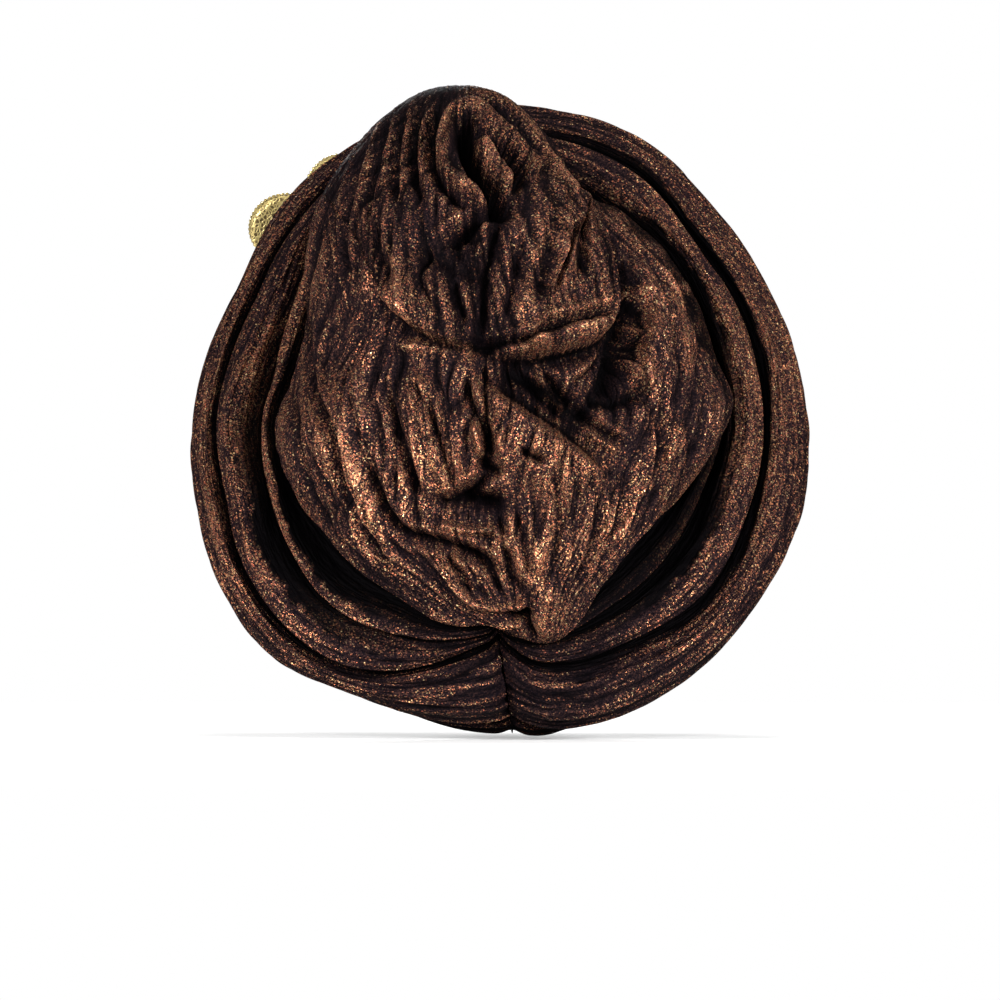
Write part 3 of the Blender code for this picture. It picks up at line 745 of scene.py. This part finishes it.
def pleat(
    name, cells, seed, start, table, end, dips, shades, gleams=None, wide_shades=None, wide_shade_at=(),
    swell=0.0026, ribs=0.0015, hidden=0,
):
    """A pleat of crinkled cloth, from a sewn edge at its start to one at its end.

    An end of None is a rolled rim. Each row has a dip towards the nape seam, a shade
    that is 0 in a dark groove and 1 in the open: painted shade, which also draws the
    cloth back into the groove, and a gleam, a painted highlight that gathers more flakes
    on it, or fewer below 0. A second table of painted shades takes over at the places
    given, where the grooves' painted shade is widest, and hidden darkens the pleat on
    the right with painted shade.
    """
    angle, tucked = seam_stations(cells[1])
    rows = rows_at(angle, table)
    closing = sewn_rows(angle, *end) if end else rolled_rim(rows)
    rows = [*sewn_rows(angle, *start)[::-1], *rows, *closing]
    points, across, knots = smooth_rows(rows, cells[0])
    dip = np.interp(across, knots, dips)
    points = draw_to_seam(points, angle, tucked, SEAM_DIP * dip[:, None])
    normal = outward_normals(points, angle)
    along = running(np.linalg.norm(np.diff(points.mean(axis=0), axis=0), axis=-1))
    along = along[None, :] * np.ones((len(across), 1))
    across = across[:, None] * np.ones((1, len(angle)))
    # painted shade in the grooves, with uneven edges, wider on the right, and darker on the right
    # of a hidden pleat
    uneven = across + GROOVE_WANDER * noise(along / 0.011, across / 0.03, seed + 40)
    right = np.clip(-np.sin(np.radians(angle)), 0, 1)
    open_air = np.interp(uneven, knots, shades) ** (1.7 + 5 * right) * (1 - hidden * right)
    # painted shade that widens the grooves at the places given, with jagged edges
    if wide_shades:
        jagged = uneven + WIDE_SHADE_WANDER * noise(along / 0.0045, across / 0.012, seed + 50)
        wide_painted_light = np.clip(3 * np.interp(jagged, knots, wide_shades) - 1, 0, 1)
        open_air += wide_shade_part(angle, wide_shade_at) * (wide_painted_light - open_air)
    # the band narrows towards the nape, and its ribs get lower with it
    width = np.linalg.norm(np.diff(points, axis=0), axis=-1).sum(axis=0)
    narrow = np.clip(width / np.median(width), 0.3, 1.2)[None, :]
    broad, fine, small = all_ribs(across, along, seed, PLEAT_RIBS)
    # the fine ribs are calmer in some places than in others
    calm = np.clip(0.8 + 0.6 * noise(across / 0.03, along / 0.06, seed + 30), 0.25, 1.3)
    edge = np.minimum(across, across.max() - across)
    hold = np.clip(edge / EDGE_HELD, 0, 1)
    lift = swell * (broad - 0.45) + ribs * calm * (fine - 0.4) + 0.4 * ribs * (small - 0.4)
    # cloth in a groove lies flatter and drawn back, so that the groove stays open
    inside = np.interp(across, knots, shades)
    lift = lift * (0.4 + 0.6 * inside) - DRAWN_BACK * (1 - inside)
    # the cloth lies flat under the brooch
    place, _ = brooch_frame()
    from_brooch = np.linalg.norm(points - place, axis=-1) - BROOCH_RADIUS
    free = np.clip(from_brooch / BROOCH_MARGIN + 0.4, 0, 1)
    lift = np.where(lift > 0, lift * free, lift)
    points = points + normal * (lift * narrow * hold)[..., None]
    # painted light: more of the light falls on the pleats at the sides than above and below, so
    # they get more flakes there
    beside = np.sin(np.radians(angle)) ** 2
    gleam = np.interp(across, knots, gleams or 0 * knots) * beside + 0.38 * beside - 0.22
    # painted light: more flakes on the pleats at the upper right
    gleam += 0.22 * wide_shade_part(angle, UPPER_RIGHT)
    rib = np.clip(0.17 + gleam + 0.45 * broad + 0.6 * fine + 0.5 * small, 0, 1.6)
    return add_mesh(
        name,
        points.reshape(-1, 3),
        grid_faces(indices(*rib.shape)),
        np.stack([across, along], axis=-1).reshape(-1, 2),
        rib=rib,
        open_air=open_air * valley_shade(rib),
    )


def in_photo(x, z):
    """Steps of the photo, from metres in the plane of the fan's middle."""
    return x / PHOTO_STEP + FAN_X, FAN_Y - z / PHOTO_STEP


def fold_curve(places):
    """Sample points along a fold, in metres from the fan's middle."""
    places = np.array(places, float)
    knots = running(np.linalg.norm(np.diff(places, axis=0), axis=1))
    curve = hermite(knots, places, np.linspace(0, knots[-1], FOLD_SAMPLES))
    return (curve - (FAN_X, FAN_Y)) * (PHOTO_STEP, -PHOTO_STEP)


def fold_profile(kind, side, width):
    """The fold's height, painted shade and painted highlight as shares, at a signed distance from
    its line.
    """
    apart = np.abs(side)
    bell = np.exp(-((apart / width) ** 2))
    if kind == "crease":
        shoulder = np.exp(-(((apart - 2.2 * width) / width) ** 2))
        shade = np.exp(-((apart / (0.75 * width)) ** 2))
        return 0.45 * shoulder - np.exp(-apart / width), shade, 0.5 * shoulder
    if kind == "hollow":
        return -bell, bell, 0 * apart
    if kind == "ridge":
        return bell, 0 * apart, bell * min(1, 0.004 / width)
    edge = 1 - np.exp(-apart / 0.0014)
    over = edge * np.exp(-((apart / width) ** 1.5))
    under = -0.45 * edge * np.exp(-((apart / (0.35 * width)) ** 2))
    shade = np.where(side > 0, 0, np.exp(-((apart / (0.28 * width)) ** 2)))
    shine = np.where(side > 0, 0.9 * np.exp(-((apart / 0.0022) ** 2)), 0)
    return np.where(side > 0, over, under), shade, shine


def fold_lift(x, z):
    """How far the folds lift the crown at places seen from behind, with their painted shade and
    painted highlights.
    """
    lift = np.zeros_like(x)
    light = np.ones_like(x)
    shine = np.zeros_like(x)
    for kind, height, width, places in FOLDS:
        curve = fold_curve(places)
        width = width * PHOTO_STEP
        reach = (5 if kind == "crease" else 2.6) * width + 0.004
        low = curve.min(axis=0) - reach
        high = curve.max(axis=0) + reach
        near = np.flatnonzero((x > low[0]) & (x < high[0]) & (z > low[1]) & (z < high[1]))
        start = curve[:-1]
        step = np.diff(curve, axis=0)
        dx = x[near, None] - start[:, 0]
        dz = z[near, None] - start[:, 1]
        t = np.clip((dx * step[:, 0] + dz * step[:, 1]) / (step**2).sum(axis=1), 0, 1)
        apart = np.hypot(dx - t * step[:, 0], dz - t * step[:, 1])
        nearest = apart.argmin(axis=1)
        pick = np.arange(len(near))
        part = (nearest + t[pick, nearest]) / len(start)
        turn = step[nearest, 0] * dz[pick, nearest] - step[nearest, 1] * dx[pick, nearest]
        strength = 1.0
        if kind in ("crease", "lip"):
            # it dies away towards both its ends
            strength = smooth(np.clip(np.minimum(part, 1 - part) / 0.22, 0, 1))
        side = np.where(turn >= 0, 1, -1) * apart[pick, nearest]
        rise, shade, gleam = fold_profile(kind, side, width)
        lift[near] += 0.001 * height * strength * rise
        light[near] *= 1 - min(1, height / 7) * strength * shade
        shine[near] += strength * gleam
    return lift, light, shine


def between_sides(x, z, table):
    """How far across the crown a place lies, from -1 at its left side to 1 at its right."""
    heights, left_side, right_side = np.array(table, float).T
    px, y = in_photo(x, z)
    y = np.clip(y, heights[0], heights[-1])
    left = hermite(heights, left_side, y)
    right = hermite(heights, right_side, y)
    share = (px - (left + right) / 2) / ((right - left) / 2)
    return share, (right - left) / 2 * PHOTO_STEP


def on_lobe(x, z):
    """1 on the upper lobe and 0 off it, with a soft edge."""
    px, y = in_photo(x, z)
    heights, _, right_side = np.array(LOBE_SIDES, float).T
    across = 1 / (1 + np.exp((px - hermite(heights, right_side, y)) / 3.0))
    down = 1 / (1 + np.exp((y - np.interp(px, *np.array(LOBE_FOOT, float).T)) / 3.5))
    return across * down


def crown_crinkles(x, z, spread):
    """Heights of the crown's crinkles, how much each place lies on a crest, less on the upper lobe
    where painted shade darkens it, and the cloth map.

    spread says how much farther out a place lies when the crown is laid flat.
    """
    over = on_lobe(x, z)
    x = x * spread
    z = z * spread
    height = np.zeros_like(x)
    rib = np.zeros_like(x)
    uv = np.zeros((len(x), 2))
    # the upper lobe gets fewer flakes, painted shade that darkens it
    for sides, seed, weight, swell, flakes, aside in (
        (CROWN_SIDES, 100, 1 - over, 0.0040, 1.0, 0),
        (LOBE_SIDES, 200, over, 0.0024, 0.66, 0.3),
    ):
        share, half = between_sides(x, z, sides)
        bend = CRINKLE_BEND * noise(x / 0.045, z / 0.06, seed + 5)
        across = share * CROWN_HALF_WIDTH + bend
        tight = np.clip(half / CROWN_HALF_WIDTH, 0.25, 1.1)
        broad, fine, small = all_ribs(across, z, seed, CROWN_RIBS)
        calm = np.clip(0.8 + 0.7 * noise(x / 0.035, z / 0.05, seed + 30), 0.2, 1.3)
        part = swell * (broad - 0.45) + 0.0034 * calm * (fine - 0.38) + 0.0020 * (small - 0.2)
        height += weight * tight * part
        whole_rib = np.clip(0.1 + 0.60 * broad + 0.60 * fine + 0.35 * small, 0, 1.5)
        rib += weight * whole_rib * flakes
        here = weight > 0.5
        uv[here] = np.stack([across * tight + aside, z], axis=-1)[here]
    return height, rib, uv


def crown_base(angle, share):
    """The crown's smooth outside, from its middle at share 0 to its edge at 1."""
    radius = crown_line(angle) * share
    edge = depth_at(angle, *CROWN_EDGE)
    height = CROWN_BULGE + edge
    dome = np.sqrt(np.clip(1 - share**CROWN_SQUARENESS, 0, 1))
    return round_fan(angle, radius, edge - height * dome), dome


def even_shares(count):
    """Shares of the crown's outline evenly spaced along its outside, and its length."""
    share = np.linspace(0, 1, 4001)
    dome = np.sqrt(1 - share**CROWN_SQUARENESS)
    length = running(np.hypot(np.diff(share), 0.42 * np.diff(dome)))
    return np.interp(np.linspace(0, length[-1], count), length, share), length[-1]


def rim_shade(angle, share, x, z):
    """How much painted light the crown keeps by its rim: little close to the rim, upper right,
    where it sinks.
    """
    edge = (1 - share) * crown_line(angle)
    edge = edge + 0.0028 * noise(x / 0.009, z / 0.009, 61) + 0.002 * noise(x / 0.02, z / 0.02, 62)
    part = np.clip((edge - 0.0015) / 0.005, 0, 1)
    return 1 - 0.95 * wide_shade_part(angle, UPPER_RIGHT) * (1 - smooth(part))


def crown_hem(rim_angle, rim_points):
    """Rows from the crown's rim to its sewn line and its hidden hem, and their distance."""
    rim_base, _ = crown_base(rim_angle, np.ones(len(rim_angle)))
    under = rows_at(rim_angle, CROWN_UNDERSIDE) + sewn_rows(rim_angle, INNER_TO_CROWN, -1, 0.004)
    rows, away, _ = smooth_rows([rim_base, *under], CROWN_HEM_ROWS)
    # the rows give up the rim's crinkles bit by bit
    fade = np.linspace(1, 0, CROWN_HEM_ROWS + 1)[:, None, None] ** 2
    rows = rows + (rim_points - rim_base) * fade
    return rows[1:], away[1:]


def build_crown():
    """A square grid bent over the crown, with hem rows from its rim to the sewn line."""
    side = CROWN_CELLS + 1
    v, u = np.meshgrid(np.linspace(-1, 1, side), np.linspace(-1, 1, side), indexing="ij")
    flat_x = u * np.sqrt(1 - v**2 / 2)
    flat_z = v * np.sqrt(1 - u**2 / 2)
    reach = np.clip(np.hypot(flat_x, flat_z), 0, 1)
    shares, length = even_shares(801)
    share = np.interp(reach, np.linspace(0, 1, 801), shares)
    angle = np.degrees(np.arctan2(-flat_x, -flat_z)) % 360
    points, dome = crown_base(angle, share)
    normal = normals_of(points)
    if normal[side // 2, side // 2, 1] > 0:
        normal = -normal
    # where each point is seen in the photo, as metres in the plane of the fan's middle
    nearer = CAMERA_AWAY / (CAMERA_AWAY + points[..., 1])
    x = (points[..., 0] * nearer).ravel()
    z = (CAMERA_HEIGHT + (points[..., 2] - CAMERA_HEIGHT) * nearer - FAN_CENTRE_Z).ravel()
    lift, light, shine = fold_lift(x, z)
    lift = lift.reshape(side, side) * np.clip(1.6 * dome, 0, 1)
    spread = np.divide(length * reach, share, out=np.ones_like(share), where=share > 1e-6)
    crinkles, rib, uv = crown_crinkles(x, z, spread.ravel())
    crinkles = crinkles.reshape(side, side) * (0.45 + 0.55 * np.clip(1.5 * dome, 0, 1))
    points = (points + normal * (lift + crinkles)[..., None]).reshape(-1, 3)
    # painted shade from the folds, from the valleys between the ribs and by the rim
    open_air = light * valley_shade(rib) * rim_shade(angle.ravel(), share.ravel(), x, z)
    # painted highlights along the folds' edges, and painted light on raised folds and painted
    # shade in hollows, as more or fewer flakes
    rib = np.clip(rib + 0.6 * shine + 0.25 * lift.ravel() / 0.010, 0, 2)
    index = indices(side, side)
    rim = np.concatenate([index[0, :-1], index[:-1, -1], index[-1, :0:-1], index[:0:-1, 0]])
    rows, away = crown_hem(angle.ravel()[rim], points[rim])
    ring = np.concatenate([rim[None], side * side + indices(CROWN_HEM_ROWS, len(rim))])
    out = unit(np.stack([x, z], axis=-1)[rim])
    hem_uv = uv[rim] + out * away[:, None, None]
    # painted shade under the rim, darker row by row towards the hidden hem
    hem_painted_light = np.linspace(0.6, 0, CROWN_HEM_ROWS)
    return add_mesh(
        "crown_cloth",
        np.concatenate([points, rows.reshape(-1, 3)]),
        np.concatenate([grid_faces(index), ring_faces(ring)]),
        np.concatenate([uv, hem_uv.reshape(-1, 2)]),
        rib=np.concatenate([rib, np.full(CROWN_HEM_ROWS * len(rim), 0.3)]),
        open_air=np.concatenate([open_air, np.repeat(hem_painted_light, len(rim))]),
    )


def rolled_rim(rows):
    """Rows that turn the last row back inside, as the brow's hem does."""
    last, before = rows[-1], rows[-2]
    down = unit(last - before)
    inward = unit(np.cross(np.gradient(last, axis=0), down))
    to_middle = np.array([0, 0, FAN_CENTRE_Z]) - last
    if np.einsum("sk,sk->s", inward, to_middle).mean() < 0:
        inward = -inward
    turns = ((0.0012, 0.0012), (0.0004, 0.0026), (-0.0060, 0.0030), (-0.0140, 0.0026))
    return [last + below * down + inside * inward for below, inside in turns]


def build_pleats():
    """The five pleats, from the outer one in towards the crown, and then to the brow."""
    outer = pleat(
        "outer_cloth", OUTER_CELLS, 1,
        (OUTER_TO_MIDDLE, 1, 0.003), OUTER_PLEAT, (OUTER_TO_FRONT, -1, 0.001),
        dips=(0, 0, 0.1, 0.2, 0.5, 1.0, 1.0, 0.7, 0.3, 0.1, 0, 0, 0),
        shades=(0, 0, 0, 0, 0.85, 1, 0.95, 0.85, 0.9, 0.9, 0.5, 0, 0),
        gleams=(0, 0, 0, 0, 0.35, 0.25, 0, -0.1, 0, 0, 0, 0, 0),
        wide_shades=(0, 0, 0, 0, 0.3, 1, 1, 1, 1, 1, 0.5, 0, 0),
        wide_shade_at=UPPER_RIGHT,
    )
    middle = pleat(
        "middle_cloth", MIDDLE_CELLS, 2,
        (OUTER_TO_MIDDLE, -1, 0.002), MIDDLE_PLEAT, (MIDDLE_TO_INNER, 1, 0.004),
        dips=(0, 0, 0.2, 0.5, 0.6, 0.4, 0.2, 0, 0),
        shades=(0, 0, 0, 0.45, 1, 0.88, 0.05, 0, 0),
        gleams=(0, 0, 0, 0, 0.1, 0.35, 0.2, 0, 0),
        wide_shades=(0, 0, 0, 0.55, 1, 0.05, 0, 0, 0),
        wide_shade_at=UPPER_RIGHT + LOWER_LEFT + LOWER_RIGHT,
        swell=0.0022,
    )
    inner = pleat(
        "inner_cloth", INNER_CELLS, 3,
        (MIDDLE_TO_INNER, -1, 0.003), INNER_PLEAT, (INNER_TO_CROWN, 1, 0.005),
        dips=(0, 0, 0.1, 0.3, 0.3, 0.1, 0, 0),
        shades=(0, 0, 0.1, 0.9, 0.6, 0, 0, 0),
        gleams=(0, 0, 0, 0.5, 0.2, 0, 0, 0),
        wide_shades=(0, 0, 0, 1, 0.25, 0, 0, 0),
        wide_shade_at=LOWER_LEFT,
        swell=0.0012,
        ribs=0.0012,
        hidden=0.9,
    )
    front = pleat(
        "front_cloth", FRONT_CELLS, 4,
        (OUTER_TO_FRONT, 1, 0.002), FRONT_PLEAT, (FRONT_TO_BROW, -1, 0.001),
        dips=(0, 0, 0.2, 0.5, 0.6, 0.4, 0.2, 0, 0),
        shades=(0, 0, 0.6, 1, 1, 1, 0.6, 0, 0),
    )
    brow = pleat(
        "brow_cloth", BROW_CELLS, 5,
        (FRONT_TO_BROW, 1, 0.002), BROW_BAND, None,
        dips=(0, 0, 0.2, 0.4, 0.4, 0.3, 0.2, 0.1, 0, 0, 0, 0),
        shades=(0, 0, 0.6, 1, 1, 1, 1, 1, 1, 0.6, 0.3, 0.3),
        swell=0.0020,
    )
    return outer, middle, inner, front, brow


class Nodes:
    """A short way to write a material's nodes."""

    def __init__(self, name):
        self.material = bpy.data.materials.new(name)
        self.material.use_nodes = True
        self.tree = self.material.node_tree
        self.shader = self.tree.nodes["Principled BSDF"]

    def add(self, kind, **settings):
        node = self.tree.nodes.new(f"ShaderNode{kind}")
        for name, value in settings.items():
            setattr(node, name, value)
        return node

    def put(self, socket, value):
        """Gives a socket a value, or links it to another node's output."""
        if isinstance(value, bpy.types.NodeSocket):
            self.tree.links.new(value, socket)
        elif value is not None:
            socket.default_value = (*value, 1) if socket.type == "RGBA" else value

    def set(self, node, **values):
        for name, value in values.items():
            self.put(node.inputs[name.replace("_", " ")], value)
        return node

    def math(self, operation, first, second, clamp=False):
        node = self.add("Math", operation=operation, use_clamp=clamp)
        self.put(node.inputs[0], first)
        self.put(node.inputs[1], second)
        return node.outputs[0]

    def vector(self, operation, first, second=None):
        node = self.add("VectorMath", operation=operation)
        self.put(node.inputs[0], first)
        self.put(node.inputs["Scale" if operation == "SCALE" else 1], second)
        return node.outputs["Value" if operation == "LENGTH" else "Vector"]

    def place(self):
        return self.add("TexCoord").outputs["Object"]

    def noise(self, size, **values):
        """Noise in space, in steps of a size in metres."""
        node = self.add("TexNoise")
        return self.set(node, Vector=self.place(), Scale=1 / size, **values).outputs["Fac"]

    def cloth_noise(self, u, v, **values):
        """Noise on the cloth map, in steps of u and v metres."""
        uv = self.add("UVMap", uv_map="cloth").outputs["UV"]
        steps = self.set(self.add("Mapping"), Vector=uv, Scale=(1 / u, 1 / v, 1)).outputs["Vector"]
        node = self.add("TexNoise", noise_dimensions="2D")
        return self.set(node, Vector=steps, Scale=1.0, **values).outputs["Fac"]

    def cells(self, size, **settings):
        """Cells in space, of a size in metres."""
        node = self.add("TexVoronoi", **settings)
        return self.set(node, Vector=self.place(), Scale=1 / size).outputs

    def ramp(self, factor, *stops):
        node = self.add("ValToRGB")
        ramp = node.color_ramp
        while len(ramp.elements) < len(stops):
            ramp.elements.new(0.5)
        for element, (place, colour) in zip(ramp.elements, stops):
            element.position = place
            element.color = (*colour, 1)
        return self.set(node, Fac=factor).outputs["Color"]

    def mix(self, factor, first, second):
        node = self.add("Mix", data_type="RGBA")
        for socket, value in ((0, factor), (6, first), (7, second)):
            self.put(node.inputs[socket], value)
        return node.outputs[2]

    def bump(self, height, strength, distance):
        node = self.add("Bump")
        self.set(node, Height=height, Strength=strength, Distance=distance)
        return node.outputs["Normal"]


def cloth_material():
    """Near-black brown cloth with flakes of copper and gold thread on its ribs, with painted
    highlights and painted shade in its flakes and its ground.
    """
    made = Nodes("metallic_brocade")
    rib = made.add("Attribute", attribute_name="rib").outputs["Fac"]
    air = made.add("Attribute", attribute_name="open_air").outputs["Fac"]
    chance = made.cells(FLAKE_SIZE)["Color"]
    luck, hue, shine = made.set(made.add("SeparateColor"), Color=chance).outputs
    # flakes gather in streaks along the cloth and on its ribs, more under painted highlights, and
    # thin out in the valleys and where painted shade falls
    streak = made.cloth_noise(0.0026, 0.030, Detail=3.0, Roughness=0.6)
    patch = made.cloth_noise(0.022, 0.035, Detail=2.0)
    amount = made.math("MULTIPLY", streak, 0.9)
    amount = made.math("ADD", amount, made.math("MULTIPLY", patch, 0.3))
    amount = made.math("ADD", amount, made.math("MULTIPLY", rib, 0.60))
    amount = made.math("SUBTRACT", amount, 0.84)
    over = made.math("SUBTRACT", amount, luck)
    flake = made.math("MULTIPLY", over, 4.0, clamp=True)
    # painted shade takes the flakes away
    flake = made.math("MULTIPLY", flake, air)
    dull = made.math("MULTIPLY", made.math("ADD", over, 0.55), 1.8, clamp=True)
    # painted shade takes the dull threads away
    dull = made.math("MULTIPLY", dull, air)
    bright = made.math("POWER", shine, 2.6)
    bright = made.math("ADD", made.math("MULTIPLY", bright, 0.96), 0.04)
    metal = made.mix(bright, DARK_METAL, made.ramp(hue, *METALS))
    # painted shade: the ground goes darker where painted light is low
    ground = made.mix(air, GROUND_IN_PAINTED_SHADE, GROUND)
    ground = made.mix(dull, ground, DULL_THREAD)
    # each flake leans its own way, so that only some catch the light
    lean = made.vector("SUBTRACT", chance, (0.5, 0.5, 0.5))
    lean = made.vector("SCALE", lean, made.math("MULTIPLY", flake, 0.45))
    # small crinkles along the cloth, then the grain of its weave
    small = made.cloth_noise(0.0016, 0.012, Detail=2.0, Roughness=0.5)
    grain = made.noise(0.0009, Detail=1.0)
    height = made.math("MULTIPLY", small, 2.4)
    height = made.math("ADD", height, made.math("MULTIPLY", grain, 0.35))
    turned = made.vector("ADD", made.bump(height, 0.9, 0.0010), lean)
    made.set(
        made.shader,
        Base_Color=made.mix(flake, ground, metal),
        Metallic=made.math("MULTIPLY", flake, 0.95),
        Roughness=made.math("SUBTRACT", 0.75, made.math("MULTIPLY", flake, 0.38)),
        Normal=made.vector("NORMALIZE", turned),
        Specular_IOR_Level=0.02,
    )
    return made.material


def lace_material():
    """Pale gold net: bright threads round small darker holes."""
    made = Nodes("gold_lace")
    away = made.cells(NET_SIZE, feature="DISTANCE_TO_EDGE")["Distance"]
    thread = made.ramp(away, (0.08, (1, 1, 1)), (0.22, (0, 0, 0)))
    wear = made.noise(0.009, Detail=3.0)
    gold = made.mix(wear, (0.55, 0.40, 0.12), (0.84, 0.68, 0.30))
    made.set(
        made.shader,
        Base_Color=made.mix(thread, (0.16, 0.11, 0.045), gold),
        Normal=made.bump(thread, 0.7, 0.0006),
        Metallic=0.55,
        Roughness=0.42,
    )
    return made.material


def bead_material():
    """Pale gold glass beads, each a little lighter or darker."""
    made = Nodes("gold_beads")
    tone = made.noise(0.0018, Detail=1.0)
    scratches = made.noise(0.0004, Detail=1.0)
    made.set(
        made.shader,
        Base_Color=made.ramp(tone, (0.35, (0.60, 0.44, 0.15)), (0.65, (0.92, 0.78, 0.42))),
        Roughness=made.math("ADD", made.math("MULTIPLY", scratches, 0.2), 0.12),
        Metallic=0.7,
    )
    return made.material


def floor_material():
    """Pale paper that fades out away from the piece."""
    made = Nodes("floor_paper")
    made.set(made.shader, Base_Color=(0.93, 0.93, 0.93), Roughness=0.9)
    fade = made.add("MapRange", interpolation_type="SMOOTHSTEP")
    made.set(fade, Value=made.vector("LENGTH", made.place()), From_Min=0.30, From_Max=1.1)
    blend = made.set(made.add("MixShader"), Fac=fade.outputs["Result"])
    made.put(blend.inputs[1], made.shader.outputs[0])
    made.put(blend.inputs[2], made.add("BsdfTransparent").outputs[0])
    made.set(made.tree.nodes["Material Output"], Surface=blend.outputs[0])
    return made.material


def build_stage():
    bpy.ops.mesh.primitive_circle_add(
        vertices=96,
        radius=FLOOR_RADIUS,
        fill_type="NGON",
        location=(0, 0, cad_low.z - FLOOR_GAP),
    )
    floor = bpy.context.object
    floor.name = "floor"
    floor.data.materials.append(floor_material())


def add_light(name, place, energy, size):
    """A square lamp that faces the middle of the fan."""
    light = bpy.data.lights.new(name, "AREA")
    light.size = size
    light.energy = energy
    lamp = bpy.data.objects.new(name, light)
    bpy.context.scene.collection.objects.link(lamp)
    lamp.location = place
    ahead = Vector((0, 0, AIM_Z)) - Vector(place)
    lamp.rotation_euler = ahead.to_track_quat("-Z", "Y").to_euler()


def build_lights():
    world = bpy.data.worlds.new("studio")
    bpy.context.scene.world = world
    world.use_nodes = True
    tree = world.node_tree
    room = tree.nodes["Background"]
    wall = tree.nodes.new("ShaderNodeBackground")
    for node, colour, strength in ((room, (0.95, 0.97, 1, 1), 0.10), (wall, (1, 1, 1, 1), 1)):
        node.inputs["Color"].default_value = colour
        node.inputs["Strength"].default_value = strength
    ray = tree.nodes.new("ShaderNodeLightPath")
    blend = tree.nodes.new("ShaderNodeMixShader")
    tree.links.new(ray.outputs["Is Camera Ray"], blend.inputs["Fac"])
    tree.links.new(room.outputs[0], blend.inputs[1])
    tree.links.new(wall.outputs[0], blend.inputs[2])
    tree.links.new(blend.outputs[0], tree.nodes["World Output"].inputs["Surface"])
    add_light("key", (-0.3, -2.4, 0.45), 34, 0.35)
    add_light("fill", (1.4, -1.8, 0.4), 108, 0.8)
    add_light("side", (-1.9, -1.3, 0.5), 76, 0.8)
    add_light("top", (0.2, 0.4, 1.9), 12, 0.6)
    add_light("front", (-0.3, 2.3, 0.6), 38, 0.5)


def build_camera():
    lens = bpy.data.cameras.new("camera")
    camera = bpy.data.objects.new("camera", lens)
    bpy.context.scene.collection.objects.link(camera)
    lens.sensor_width = 36
    lens.lens = lens.sensor_width * CAMERA_AWAY / (PHOTO_SIZE * PHOTO_STEP)
    camera.location = (0, -CAMERA_AWAY, CAMERA_HEIGHT)
    camera.rotation_euler = (math.pi / 2, 0, 0)
    bpy.context.scene.camera = camera


build_camera()
build_stage()
build_lights()
bpy.context.scene.view_settings.view_transform = "Standard"

cloth = cloth_material()
crown = build_crown()
outer, middle, inner, front, brow = build_pleats()

# Each piece with its node, its cloth's cut in metres, its flat area, how it is held
# and what it lies on
for piece, node, cut, area, held, below in (
    (crown, "crown", (0.42, 0.46), 0.144, "gathered", inner),
    (outer, "outer_pleat", (0.153, 0.915), None, "folded", middle),
    (middle, "middle_pleat", (0.100, 0.81), None, "folded", inner),
    (inner, "inner_pleat", (0.062, 0.735), None, "folded", middle),
    (front, "front_pleat", (0.112, 0.857), None, "folded", brow),
    (brow, "brow_band", (0.093, 0.71), None, "folded", front),
):
    piece.data.materials.append(cloth)
    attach(piece, "root")
    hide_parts(node)

lace = lace_material()
beads = bead_material()
plate, petal_beads, dome, dome_beads = build_brooch()
for piece, material in ((plate, lace), (petal_beads, beads), (dome, lace), (dome_beads, beads)):
    piece.data.materials.append(material)
    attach(piece, "root")
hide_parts("brooch_petals")
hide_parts("brooch_middle")
